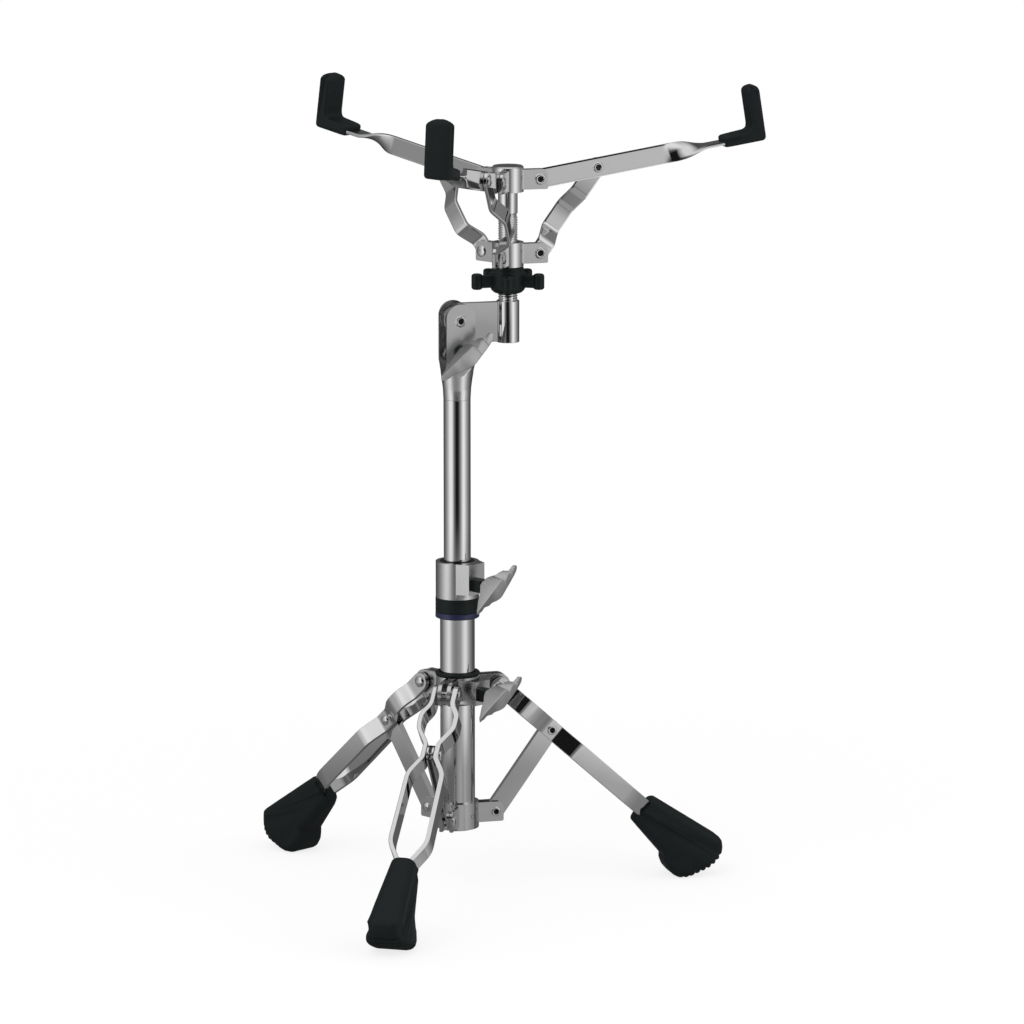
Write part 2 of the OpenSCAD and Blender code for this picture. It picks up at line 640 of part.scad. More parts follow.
// Flared neck with two flat cheeks that hold the tilting bracket
module tilt_fork() {
    color(chrome) difference() {
        union() {
            intersection() {
                rotate_extrude() polygon(concat([[0, flare_z0]],
                    [for (q = [[0, 0], [0.04, 0.28], [0.13, 0.53], [0.27, 0.75], [0.5, 0.94], [0.66, 1.03]])
                        [upper_r + q[0] * cheek_r, flare_z0 + q[1] * flare_height]],
                    [[0, fork_floor_z + 1]]));
                translate([-cheek_r, -cheek_out, flare_z0 - 1])
                    cube([2 * cheek_r, fork_width, 2 * flare_height]);
            }
            for (m = [-1, 1]) scale([1, m, 1]) translate([0, cheek_out, 0]) rotate([90, 0, 0])
                linear_extrude(height = cheek_thick) {
                    translate([0, tilt_pivot_z + cheek_rise]) circle(r = cheek_r);
                    translate([-cheek_r, fork_floor_z])
                        square([2 * cheek_r, tilt_pivot_z + cheek_rise - fork_floor_z]);
                }
        }
        translate([0, 0, flare_z0 - 1])
            cylinder(h = flare_height / 2 + 2, r = upper_r - upper_tube_wall);
        translate([0, 0, tilt_pivot_z]) pin_y(tilt_pin_r, -30, 30);
        translate([0, 0, tilt_bolt_z]) pin_y(bolt_r, -30, 30);
    }
}

// Friction discs between the cheeks and the bracket
module tilt_discs() {
    color(cast) for (m = [-1, 1]) scale([1, m, 1]) {
        difference() {
            translate([0, 0, tilt_pivot_z]) pin_y(cheek_r - 1, bracket_half + face_gap, cheek_in);
            translate([0, 0, tilt_pivot_z]) pin_y(tilt_pin_r, -30, 30);
        }
        difference() {
            translate([0, 0, tilt_bolt_z]) pin_y(bolt_r + 2.2, bracket_half + face_gap, cheek_in);
            translate([0, 0, tilt_bolt_z]) pin_y(bolt_r, -30, 30);
        }
    }
}

module tilt_pin() {
    color(chrome) translate([0, 0, tilt_pivot_z]) rivet_y(tilt_pin_r, -cheek_out, cheek_out, 5, 1.5);
}

module tilt_bolt() {
    color(chrome) translate([0, 0, tilt_bolt_z]) {
        pin_y(bolt_r, -cheek_out - tilt_spacer - wing_stem, cheek_out);
        pin_y(spacer_half, -cheek_out - tilt_spacer, -cheek_out);
        pin_y(5.6, cheek_out, cheek_out + 3);
    }
}

module tilt_wing() {
    color(cast) translate([0, -cheek_out - tilt_spacer - face_gap, tilt_bolt_z]) rotate([90, 0, 0])
        rotate([0, 0, 41]) wing(wing_bore);
}

module tilt_bracket() {
    slot_half = bolt_r + slot_gap;
    a0 = 270 - tilt_back - 1;
    a1 = 270 + tilt_forward + 1;
    color(chrome) difference() {
        translate([0, bracket_half, tilt_pivot_z]) rotate([90, 0, 0]) linear_extrude(height = bracket_thick)
            difference() {
                union() {
                    circle(r = cheek_r - 0.6);
                    translate([0, bracket_top_z - bracket_height - tilt_pivot_z])
                        square([basket_offset - rod_r, bracket_height]);
                    intersection() {
                        circle(r = sector_r);
                        polygon(concat([[0, 0]],
                            [for (u = [0:6]) 2 * sector_r * [cos(a0 - 11.5 + u * (a1 - a0 + 24.5) / 6),
                                                             sin(a0 - 11.5 + u * (a1 - a0 + 24.5) / 6)]]));
                    }
                }
                circle(r = tilt_pin_r + pin_gap);
                polygon(concat([for (a = [a0:1:a1]) (tilt_bolt_drop + slot_half) * [cos(a), sin(a)]],
                               [for (a = [a1:12:a1 + 180]) tilt_bolt_drop * [cos(a1), sin(a1)]
                                                           + slot_half * [cos(a), sin(a)]],
                               [for (a = [a1:-1:a0]) (tilt_bolt_drop - slot_half) * [cos(a), sin(a)]],
                               [for (a = [a0 + 180:12:a0 + 360]) tilt_bolt_drop * [cos(a0), sin(a0)]
                                                                 + slot_half * [cos(a), sin(a)]]));
            }
        translate([basket_offset, 0, 0]) rod_z(socket_r, socket_z0 - 1, socket_z1 + 1);
    }
}

module rod_socket() {
    color(chrome) translate([basket_offset, 0, 0]) difference() {
        rod_z(socket_r, socket_z0, socket_z1);
        rod_z(rod_r, socket_z0 + 3, socket_z1 + 1);
    }
}

module basket_rod() {
    color(chrome) translate([basket_offset, 0, 0]) rod_z(rod_r, rod_z0, rod_z1);
}

// Band with three pairs of ears around the rod
module band(z0, pivot_z, bore_r) {
    difference() {
        union() {
            rod_z(band_r, z0, z0 + basket_band_height);
            for (k = [0:2]) rotate([0, 0, k * leg_spacing]) for (m = [-1, 1])
                translate([basket_pivot_r, m * (basket_ear_in + hub_sheet / 2), pivot_z])
                    ear(basket_ear_half, -(basket_pivot_r - rod_r - 2));
        }
        rod_z(bore_r, z0 - 1, z0 + basket_band_height + 1);
        for (k = [0:2]) rotate([0, 0, k * leg_spacing])
            translate([basket_pivot_r, 0, pivot_z]) pin_y(basket_pin_r, -20, 20);
    }
}

module band_pins(pivot_z) {
    for (k = [0:2]) rotate([0, 0, k * leg_spacing]) translate([basket_pivot_r, 0, pivot_z])
        rivet_y(basket_pin_r, -(basket_ear_in + hub_sheet), basket_ear_in + hub_sheet, 3.9, 1.5);
}

module top_hub() { color(chrome) translate([basket_offset, 0, 0]) band(top_band_z0, arm_pivot_z, rod_r); }

module top_hub_rivets() { color(chrome) translate([basket_offset, 0, 0]) band_pins(arm_pivot_z); }

module top_cap() {
    z = top_band_z0 + basket_band_height;
    color(chrome) translate([basket_offset, 0, 0]) {
        rod_z(rod_r, rod_z1, z);
        rotate_extrude()
            polygon([[0, z], [band_r, z], [band_r, z + 0.4], [band_r - 1.2, z + 1.4], [0, z + 1.6]]);
    }
}

module low_hub() {
    color(chrome) translate([basket_offset, 0, 0]) band(low_band_z0, strut_pivot_z, rod_r + 1.4);
}

module low_hub_liner() {
    color(plastic) translate([basket_offset, 0, 0])
        tube_z(rod_r + 1.4, rod_r + slide_gap, low_band_z0, low_band_z0 + basket_band_height);
}

module low_hub_rivets() { color(chrome) translate([basket_offset, 0, 0]) band_pins(strut_pivot_z); }

module adjust_nut() {
    zc = (nut_z0 + nut_z1) / 2;
    color(plastic) translate([basket_offset, 0, 0]) difference() {
        union() {
            rotate_extrude() polygon([[0, nut_z0], [nut_body_d / 2 - 3.2, nut_z0], [nut_body_d / 2, nut_z0 + 3],
                [nut_body_d / 2, nut_z1 - 5], [nut_body_d / 2 - 0.6, nut_z1 - 4],
                [nut_body_d / 2 - 1, nut_z1 - 1.2], [nut_body_d / 2 - 2, nut_z1], [0, nut_z1]]);
            for (k = [0:4]) rotate([0, 0, 255 + 72 * k]) {
                translate([nut_body_d / 2 - 3, -3.2, zc - 6.3]) cube([nut_reach - nut_body_d / 2 - 2, 6.4, 10.8]);
                translate([nut_reach - 4.6, 0, zc - 7.2]) cylinder(h = 13, r = 4.6);
            }
        }
        rod_z(rod_r + slide_gap, nut_z0 - 1, nut_z1 + 1);
    }
}

module arm_place(k) {
    translate([basket_offset, 0, 0]) rotate([0, 0, k * leg_spacing]) translate([basket_pivot_r, 0, arm_pivot_z])
        rotate([0, -arm_angle, 0]) children();
}

// Flat outer strip of an arm, bent up inside the rubber tip
module strip(grow) {
    rotate([90, 0, 0]) linear_extrude(height = arm_width + 2 * grow, center = true)
        polygon(ribbon(bend([[twist_x1 - 0.02, 0], [arm_reach - tip_thick / 2 - 1, 0],
            [arm_reach - tip_thick / 2 - 1, tip_height - 8 + grow]], 5), strip_h / 2 + grow));
}

module arm(k) {
    color(chrome) arm_place(k) difference() {
        union() {
            rotate([90, 0, 0]) linear_extrude(height = arm_thick, center = true) {
                circle(r = arm_width / 2);
                translate([0, -arm_width / 2]) square([twist_x0 + 0.02, arm_width]);
            }
            translate([twist_x0, 0, 0]) rotate([0, 90, 0])
                linear_extrude(height = twist_length, twist = 90, slices = 24)
                    square([arm_width, arm_thick], center = true);
            strip(0);
        }
        pin_y(basket_pin_r + pin_gap, -20, 20);
        translate([strut_rivet_at, 0, 0]) pin_y(basket_pin_r, -20, 20);
    }
}

module arm_rivet(k) {
    color(chrome) arm_place(k) translate([strut_rivet_at, 0, 0])
        rivet_y(basket_pin_r, -arm_thick / 2, strut_out + strut_thick / 2 + face_gap, 5, 1.5);
}

// Upright part of a rubber tip, rounded toward its top
module tip_upright(x1, w, r) {
    top = tip_height;
    intersection() {
        translate([0, 0, -tip_low]) linear_extrude(height = tip_low + top) rounded(x1, arm_reach, w, 0.8 * r);
        rotate([90, 0, 90]) linear_extrude(height = 2 * arm_reach)
            polygon([[-w + 0.2 * r, -tip_low], [-w, -tip_low + 0.2 * r], [-w, top - 1.12 * r],
                     [-w + 0.16 * r, top - 0.76 * r], [-w + 0.5 * r, top - 0.48 * r], [-w + 1.1 * r, top - 0.18 * r],
                     [-w + 1.7 * r, top], [w - 1.7 * r, top], [w - 1.1 * r, top - 0.18 * r],
                     [w - 0.5 * r, top - 0.48 * r], [w - 0.16 * r, top - 0.76 * r], [w, top - 1.12 * r],
                     [w, -tip_low + 0.2 * r], [w - 0.2 * r, -tip_low]]);
        rotate([90, 0, 0]) linear_extrude(height = 2 * tip_width, center = true)
            polygon([[x1, -tip_low], [x1, top - r], [x1 + 0.2 * r, top - 0.4 * r], [x1 + 0.56 * r, top - 0.06 * r],
                     [x1 + 0.92 * r, top], [arm_reach - 0.92 * r, top], [arm_reach - 0.56 * r, top - 0.06 * r],
                     [arm_reach - 0.2 * r, top - 0.4 * r], [arm_reach, top - r], [arm_reach, -tip_low + 0.5 * r],
                     [arm_reach - 0.16 * r, -tip_low + 0.12 * r], [arm_reach - 0.5 * r, -tip_low]]);
    }
}

// Flat part of a rubber tip that covers the end of the arm bar
module tip_base(x0, x1, w, r) {
    intersection() {
        rotate([90, 0, 0]) linear_extrude(height = 2 * tip_width, center = true)
            polygon([[x0, -tip_low], [x0 - 0.1 * r, 0], [x0, 0.8 * r], [x0 + 0.32 * r, 1.08 * r],
                     [x1 - 0.32 * r, 1.32 * r], [x1 - 0.04 * r, 1.6 * r], [x1 + 0.8 * r, 1.6 * r],
                     [x1 + r, -tip_low]]);
        rotate([90, 0, 90]) linear_extrude(height = 2 * arm_reach)
            polygon([[-w + 0.3 * r, -tip_low], [-w, -tip_low + 0.3 * r], [-w, 0.68 * r], [-w + 0.32 * r, 1.12 * r],
                     [-w + 0.68 * r, 1.6 * r], [w - 0.68 * r, 1.6 * r], [w - 0.32 * r, 1.12 * r], [w, 0.68 * r],
                     [w, -tip_low + 0.3 * r], [w - 0.3 * r, -tip_low]]);
    }
}

module tip(k) {
    x1 = arm_reach - tip_thick;
    w = tip_width / 2;
    color(rubber) arm_place(k) difference() {
        union() {
            tip_upright(x1, w, tip_round);
            tip_base(arm_reach - tip_foot, x1, w, tip_round);
        }
        strip(rubber_gap);
    }
}

module strut(k) {
    line = bend([[-14, 0], [10.6, 0], [22, strut_bulge], [45, strut_bulge], [strut_len - 26, strut_out],
                 [strut_len + 14, strut_out]], 2.2);
    color(chrome) translate([basket_offset, 0, 0]) rotate([0, 0, k * leg_spacing])
        translate([basket_pivot_r, 0, strut_pivot_z]) rotate([0, -strut_angle, 0]) difference() {
            intersection() {
                linear_extrude(height = strut_width, center = true) polygon(ribbon(line, strut_thick / 2));
                round_ends(strut_len, strut_width / 2, 4 * strut_bulge);
            }
            pin_y(basket_pin_r + pin_gap, -20, 8);
            translate([strut_len, 0, 0]) pin_y(basket_pin_r + link_slack, -20, 20);
        }
}

module leg_bar_1a() { leg_bar(-1); }
module leg_bar_1b() { leg_bar(1); }
module leg_bar_2a() { rotate([0, 0, leg_spacing]) leg_bar(-1); }
module leg_bar_2b() { rotate([0, 0, leg_spacing]) leg_bar(1); }
module leg_bar_3a() { rotate([0, 0, 2 * leg_spacing]) leg_bar(-1); }
module leg_bar_3b() { rotate([0, 0, 2 * leg_spacing]) leg_bar(1); }
module leg_rivet_1() { leg_rivet(); }
module leg_rivet_2() { rotate([0, 0, leg_spacing]) leg_rivet(); }
module leg_rivet_3() { rotate([0, 0, 2 * leg_spacing]) leg_rivet(); }
module foot_1() { foot(); }
module foot_2() { rotate([0, 0, leg_spacing]) foot(); }
module foot_3() { rotate([0, 0, 2 * leg_spacing]) foot(); }
module brace_1() { brace(); }
module brace_2() { rotate([0, 0, leg_spacing]) brace(); }
module brace_3() { rotate([0, 0, 2 * leg_spacing]) brace(); }
module arm_1() { arm(0); }
module arm_2() { arm(1); }
module arm_3() { arm(2); }
module arm_rivet_1() { arm_rivet(0); }
module arm_rivet_2() { arm_rivet(1); }
module arm_rivet_3() { arm_rivet(2); }
module tip_1() { tip(0); }
module tip_2() { tip(1); }
module tip_3() { tip(2); }
module strut_1() { strut(0); }
module strut_2() { strut(1); }
module strut_3() { strut(2); }

base_tube();
tube_plug();
height_clamp();
clamp_nut();
clamp_bolt();
base_bush();
trim_ring();
leg_hub();
leg_hub_rivets();
clamp_wing();
swivel_sleeve();
upper_tube();
tilt_fork();
tilt_discs();
tilt_pin();
tilt_bolt();
tilt_wing();
tilt_bracket();
rod_socket();
basket_rod();
top_hub();
top_hub_rivets();
top_cap();
low_hub();
low_hub_liner();
low_hub_rivets();
adjust_nut();
arm_1();
arm_2();
arm_3();
arm_rivet_1();
arm_rivet_2();
arm_rivet_3();
tip_1();
tip_2();
tip_3();
strut_1();
strut_2();
strut_3();
leg_collar();
collar_ring();
collar_nut();
collar_bolt();
collar_rivets();
collar_wing();
leg_bar_1a();
leg_bar_1b();
leg_bar_2a();
leg_bar_2b();
leg_bar_3a();
leg_bar_3b();
leg_rivet_1();
leg_rivet_2();
leg_rivet_3();
foot_1();
foot_2();
foot_3();
brace_1();
brace_2();
brace_3();
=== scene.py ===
import json
import math

import bmesh
import bpy
from mathutils import Matrix, Vector


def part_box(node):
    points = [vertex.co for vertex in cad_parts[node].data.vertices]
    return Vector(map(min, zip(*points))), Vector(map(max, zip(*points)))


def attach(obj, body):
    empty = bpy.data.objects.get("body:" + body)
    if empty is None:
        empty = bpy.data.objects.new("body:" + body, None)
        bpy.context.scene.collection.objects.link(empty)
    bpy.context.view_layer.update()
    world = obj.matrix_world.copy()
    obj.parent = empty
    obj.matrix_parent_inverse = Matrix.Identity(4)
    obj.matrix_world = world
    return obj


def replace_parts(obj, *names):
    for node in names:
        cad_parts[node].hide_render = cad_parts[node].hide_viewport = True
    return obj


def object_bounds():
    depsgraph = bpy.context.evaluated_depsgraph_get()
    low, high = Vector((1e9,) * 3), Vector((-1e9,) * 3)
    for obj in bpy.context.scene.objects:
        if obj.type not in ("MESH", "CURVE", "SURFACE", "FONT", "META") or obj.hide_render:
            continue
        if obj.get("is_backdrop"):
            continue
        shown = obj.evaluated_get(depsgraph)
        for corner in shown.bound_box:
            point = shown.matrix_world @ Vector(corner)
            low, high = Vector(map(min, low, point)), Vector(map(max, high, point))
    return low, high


MM = 0.001
AZIMUTH = {1: 0, 2: 120, 3: 240}

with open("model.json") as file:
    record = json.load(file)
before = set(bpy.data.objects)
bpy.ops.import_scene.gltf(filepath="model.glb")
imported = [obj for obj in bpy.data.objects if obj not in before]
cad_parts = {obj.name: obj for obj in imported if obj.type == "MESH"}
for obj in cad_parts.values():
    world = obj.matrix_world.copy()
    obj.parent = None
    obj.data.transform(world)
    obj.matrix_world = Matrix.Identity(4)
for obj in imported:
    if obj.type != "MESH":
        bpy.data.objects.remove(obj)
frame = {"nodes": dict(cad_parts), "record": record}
NODE = frame["nodes"]
JOINTS = {j["name"]: j for j in frame["record"]["behaviour"]["joints"]}
SLOT_OF = {s["node"]: s["material_slot"] for s in frame["record"]["subparts"]}
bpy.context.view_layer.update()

# ---------------------------------------------------------------- camera
# Looks down at the stand from the third leg's side
CAM_AT = Vector((-1.1022, -4.1910, 1.1334))
CAM_YAW = math.radians(74.672)
CAM_DOWN = 0.185867
CAM_LENS = 189.25
CAM_SENSOR = 36.0
CAM_FAR = 50

cam_data = bpy.data.cameras.new("camera")
cam_data.sensor_width = CAM_SENSOR
cam_data.lens = CAM_LENS
cam_data.clip_end = CAM_FAR
cam = bpy.data.objects.new("camera", cam_data)
bpy.context.scene.collection.objects.link(cam)
bpy.context.scene.camera = cam
look = Vector((math.cos(CAM_YAW) * math.cos(CAM_DOWN), math.sin(CAM_YAW) * math.cos(CAM_DOWN), -math.sin(CAM_DOWN)))
cam.location = CAM_AT
cam.rotation_euler = look.to_track_quat("-Z", "Y").to_euler()

# ---------------------------------------------------------------- node helpers


class Net:
    """A node tree with short calls: i0, i1 ... set sockets by number, p_ names set properties, others named sockets."""

    def __init__(self, tree):
        self.tree = tree
        tree.nodes.clear()

    def add(self, kind, **sockets):
        node = self.tree.nodes.new(kind)
        for key, value in sockets.items():
            if key.startswith("p_"):
                setattr(node, key[2:], value)
        for key, value in sockets.items():
            if not key.startswith("p_"):
                self.put(node.inputs[int(key[1:]) if key[1:].isdigit() else key.replace("_", " ")], value)
        return node

    def put(self, socket, value):
        if isinstance(value, bpy.types.NodeSocket):
            self.tree.links.new(value, socket)
        elif isinstance(value, bpy.types.Node):
            self.tree.links.new(value.outputs[0], socket)
        else:
            socket.default_value = value

    def math(self, op, a, b=0.0, c=0.0, clamp=False):
        return self.add("ShaderNodeMath", i0=a, i1=b, i2=c, p_operation=op, p_use_clamp=clamp).outputs[0]

    def ramp(self, fac, stops):
        """Level along fac between (place, level) stops."""
        node = self.add("ShaderNodeValToRGB", Fac=fac)
        marks = node.color_ramp.elements
        while len(marks) < len(stops):
            marks.new(0.5)
        for mark, (at, level) in zip(marks, stops):
            mark.position = at
            mark.color = (level, level, level, 1)
        return node.outputs[0]

    def mix(self, fac, first, second):
        return self.add("ShaderNodeMix", p_data_type="RGBA", i0=fac, i6=first, i7=second).outputs[2]


def material(name):
    mat = bpy.data.materials.new(name)
    mat.use_nodes = True
    return mat, Net(mat.node_tree)


def object_space(net):
    return net.add("ShaderNodeTexCoord").outputs["Object"]


def noise(net, where, scale, detail=3.0, rough=0.5):
    return net.add("ShaderNodeTexNoise", Vector=where, Scale=scale, Detail=detail, Roughness=rough).outputs[0]


def bump(net, height, strength, distance):
    return net.add("ShaderNodeBump", Height=height, Strength=strength, Distance=distance).outputs[0]


def tinted(net, fac, dark, light):
    return net.mix(fac, (*dark, 1), (*light, 1))


def finish_surface(net, **sockets):
    shader = net.add("ShaderNodeBsdfPrincipled", **sockets)
    net.add("ShaderNodeOutputMaterial", Surface=shader)


# Heights in metres between which the fork turns from bright to frosted
FROST_FROM = (0.436, 0.444)


def metal_finish(name, dark, light, rough, spread, grain_scale, grain_depth):
    """Plated or cast metal: a slightly cloudy reflection over a fine grain."""
    mat, net = material(name)
    at = object_space(net)
    cloud = noise(net, at, 50.0, 4.0, 0.55)
    grain = noise(net, at, grain_scale, 2.0)
    finish_surface(net, Base_Color=tinted(net, cloud, (dark,) * 3, (light, light, light + 0.008)), Metallic=1.0,
                   Roughness=net.math("MULTIPLY_ADD", cloud, spread, rough),
                   Normal=bump(net, grain, grain_depth, 0.0002))
    return mat


def fork_finish():
    """Frosted on the flat cheeks, as bright as the tube on the neck below them."""
    mat, net = material("fork_plate")
    at = object_space(net)
    height = net.add("ShaderNodeSeparateXYZ", Vector=at).outputs[2]
    span = FROST_FROM[1] - FROST_FROM[0]
    flat = net.math("MULTIPLY_ADD", height, 1 / span, -FROST_FROM[0] / span, clamp=True)
    cloud = noise(net, at, 50.0, 4.0, 0.55)
    grain = noise(net, at, 1100.0, 2.0)
    rough = net.math("MULTIPLY_ADD", flat, 0.2, net.math("MULTIPLY_ADD", cloud, 0.04, 0.035))
    finish_surface(net, Base_Color=tinted(net, flat, (0.56,) * 3, (0.61, 0.61, 0.618)), Metallic=1.0, Roughness=rough,
                   Normal=bump(net, grain, 0.015, 0.0002))
    return mat


def rubber_finish():
    """Matte rubber with a fine grain."""
    mat, net = material("matte_rubber")
    at = object_space(net)
    cloud = noise(net, at, 70.0, 4.0)
    grain = noise(net, at, 2200.0, 3.0, 0.7)
    colour = tinted(net, cloud, (0.0048, 0.0072, 0.0078), (0.0075, 0.0105, 0.0114))
    rough = net.math("MULTIPLY_ADD", cloud, 0.12, 0.5)
    finish_surface(net, Base_Color=colour, Roughness=rough, Specular_IOR_Level=0.14,
                   Normal=bump(net, grain, 0.12, 0.0003))
    return mat


def plastic_finish(name, dark, light, low_rough, gloss=0.2):
    """Moulded plastic, faintly uneven in colour and gloss."""
    mat, net = material(name)
    at = object_space(net)
    cloud = noise(net, at, 120.0, 3.0)
    grain = noise(net, at, 2600.0, 2.0)
    rough = net.math("MULTIPLY_ADD", cloud, 0.15, low_rough)
    finish_surface(net, Base_Color=tinted(net, cloud, dark, light), Roughness=rough, Specular_IOR_Level=gloss,
                   Normal=bump(net, grain, 0.08, 0.0003))
    return mat


# By material slot, with finishes of their own for some pieces of those slots
FINISH = {
    "chrome": metal_finish("chrome_plate", 0.53, 0.58, 0.035, 0.03, 900.0, 0.012),
    "cast_metal": metal_finish("satin_cast", 0.46, 0.52, 0.2, 0.05, 1100.0, 0.02),
    "satin": metal_finish("satin_plate", 0.54, 0.6, 0.17, 0.04, 1100.0, 0.012),
    "wing": metal_finish("satin_wing", 0.46, 0.52, 0.44, 0.05, 1100.0, 0.02),
    "fork": fork_finish(),
    "black_rubber": rubber_finish(),
    "black_plastic": plastic_finish("moulded_black", (0.004, 0.0064, 0.0062), (0.0072, 0.01, 0.01), 0.34, 0.15),
    "violet_plastic": plastic_finish("moulded_violet", (0.006, 0.0075, 0.03), (0.012, 0.013, 0.052), 0.18, 0.4),
    # Painted shade for the floor and wall of the rivets' hollows, near black as if they lay in shadow
    "painted_shade": plastic_finish("painted_shade_hollow", (0.008, 0.008, 0.009), (0.02, 0.02, 0.021), 0.5),
}
# Softening: faces this flat are joined, edges this sharp are rounded
FLAT_WITHIN = math.radians(0.6)
SHARP_FROM = math.radians(40)
FACE_WEIGHT = 60


def dress(obj, slot, second=None):
    """Gives the whole object one finish; faces of material index 1 get the second one."""
    marks = [face.material_index for face in obj.data.polygons] if second else []
    obj.data.materials.clear()
    obj.data.materials.append(FINISH[slot])
    if second:
        obj.data.materials.append(FINISH[second])
        obj.data.polygons.foreach_set("material_index", marks)


def soften(obj, width, segments):
    """Rounds the sharp edges of a carried-over solid."""
    weld = obj.modifiers.new("weld", "WELD")
    weld.merge_threshold = 1e-6
    plane = obj.modifiers.new("flat_faces", "DECIMATE")
    plane.decimate_type = "DISSOLVE"
    plane.angle_limit = FLAT_WITHIN
    bev = obj.modifiers.new("bevel", "BEVEL")
    bev.width = width
    bev.segments = segments
    bev.limit_method = "ANGLE"
    bev.angle_limit = SHARP_FROM
    flat = obj.modifiers.new("normals", "WEIGHTED_NORMAL")
    flat.weight = FACE_WEIGHT
    flat.keep_sharp = False


for name, obj in NODE.items():
    dress(obj, SLOT_OF[name])

dress(NODE["tilt_fork"], "fork")
for name in ("top_hub", "low_hub", "leg_hub"):
    dress(NODE[name], "satin")

LEG_BARS = [name for k in AZIMUTH for name in (f"leg_bar_{k}a", f"leg_bar_{k}b", f"brace_{k}")]
# Width in millimetres, segments, and the solids that get them
for width, segments, names in (
        (0.4, 2, ["base_tube", "upper_tube", "rod_socket", "base_bush", "swivel_sleeve", "top_cap"]),
        (0.5, 2, ["tilt_bracket", "tilt_discs", "leg_hub", "top_hub", "low_hub"]),
        (0.7, 3, LEG_BARS),
        (0.8, 3, ["height_clamp", "leg_collar", "clamp_nut", "collar_nut"]),
        (0.9, 3, ["trim_ring"]),
        (1.3, 4, ["tilt_fork"])):
    for name in names:
        soften(NODE[name], width * MM, segments)

# ---------------------------------------------------------------- mesh helpers, all in millimetres
SAME_POINT = 1e-4
ON_AXIS = 1e-3


def piece(name, bm, place, body, slot, crease=38, second=None):
    """Makes an object of a mesh built in millimetres, puts it in place and lets it ride on its body."""
    bmesh.ops.remove_doubles(bm, verts=bm.verts, dist=SAME_POINT)
    bmesh.ops.recalc_face_normals(bm, faces=bm.faces)
    bm.transform(Matrix.Scale(MM, 4) @ place)
    mesh = bpy.data.meshes.new(name)
    bm.to_mesh(mesh)
    bm.free()
    mesh.shade_smooth()
    mesh.set_sharp_from_angle(angle=math.radians(crease))
    obj = bpy.data.objects.new(name, mesh)
    bpy.context.scene.collection.objects.link(obj)
    dress(obj, slot, second)
    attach(obj, body)
    return obj


def skin(rings, caps=True, bm=None):
    """Joins equal closed rings of points into one surface."""
    bm = bm or bmesh.new()
    rows = [[bm.verts.new(p) for p in ring] for ring in rings]
    count = len(rows[0])
    for a, b in zip(rows, rows[1:]):
        for i in range(count):
            bm.faces.new((a[i], a[(i + 1) % count], b[(i + 1) % count], b[i]))
    if caps:
        bm.faces.new(rows[0][::-1])
        bm.faces.new(rows[-1])
    return bm


def circle(parts):
    """(cosine, sine) of each of these even parts of a turn."""
    return [(math.cos(t), math.sin(t)) for t in (2 * math.pi * i / parts for i in range(parts))]


def lathe(profile, bm=None, around=40):
    """Turns (radius, height) points round Z; a profile that ends on the axis is closed there."""
    return skin([[(max(r, ON_AXIS) * c, max(r, ON_AXIS) * s, z) for c, s in circle(around)] for r, z in profile],
                True, bm)


def ring_lathe(profile, around=64):
    """Turns a closed (radius, height) outline round Z."""
    rings = [[(r * c, r * s, z) for c, s in circle(around)] for r, z in profile]
    return skin(rings + rings[:1], False)


def gathered(parts):
    """One mesh of several (mesh, place) pairs."""
    bm = bmesh.new()
    for one, place in parts:
        one.transform(place)
        mesh = bpy.data.meshes.new("part")
        one.to_mesh(mesh)
        one.free()
        bm.from_mesh(mesh)
        bpy.data.meshes.remove(mesh)
    return bm


def outline(points, step, relaxed=2):
    """Closed outline with even spacing and softened corners."""
    out = []
    for a, b in zip(points, points[1:] + points[:1]):
        a, b = Vector(a), Vector(b)
        parts = max(1, round((b - a).length / step))
        out += [a.lerp(b, j / parts) for j in range(parts)]
    for _ in range(relaxed):
        out = [(out[i - 1] + 2 * out[i] + out[(i + 1) % len(out)]) / 4 for i in range(len(out))]
    return out


def table(x, marks):
    """Value at x between (place, value) marks."""
    if x <= marks[0][0]:
        return marks[0][1]
    for (a, u), (b, v) in zip(marks, marks[1:]):
        if x <= b:
            return u + (v - u) * (x - a) / (b - a)
    return marks[-1][1]


def pillow(shape, ways, half, edge, layers):
    """Solid with this side outline in XZ, half(point) wide each way along Y.

    Its edges are rounded over this reach, where each point of the outline moves in by its way.
    """
    turns = [math.pi / 2 * j / layers for j in range(layers + 1)]
    rings = []
    for side, order in ((-1, turns[::-1]), (1, turns)):
        for t in order:
            ring = []
            for p, way in zip(shape, ways):
                q = p + way * (1 - math.cos(t))
                w = half(p)
                r = min(edge, w * 0.9)
                ring.append((q.x, side * (w - r + r * math.sin(t)), q.y))
            rings.append(ring)
    return skin(rings)


def to_spine(shape, start, stop, edge):
    """Ways inward toward a line in the middle of the outline."""
    a, b = Vector(start), Vector(stop)
    run = b - a
    ways = []
    for p in shape:
        way = a + run * min(1, max(0, (p - a).dot(run) / run.dot(run))) - p
        ways.append(way.normalized() * min(edge, way.length * 0.8))
    return ways


def to_inside(shape, edge):
    """Ways inward along the outline's own normals, which suit a bent shape."""
    return [normal(shape, i) * edge for i in range(len(shape))]


def normal(shape, i):
    """Inward normal at point i of a closed outline that runs counter-clockwise."""
    side = shape[(i + 1) % len(shape)] - shape[i - 1]
    return Vector((-side.y, side.x)).normalized()


def turned(degrees, at=(0, 0, 0)):
    """Turned about Z by this much, then moved there."""
    return Matrix.Translation(at) @ Matrix.Rotation(math.radians(degrees), 4, "Z")


def corner(node):
    """Lowest and highest corner of a CAD node."""
    low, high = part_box(node)
    return low / MM, high / MM


def joint_point(name):
    return Vector(JOINTS[name]["pos_m"]) / MM


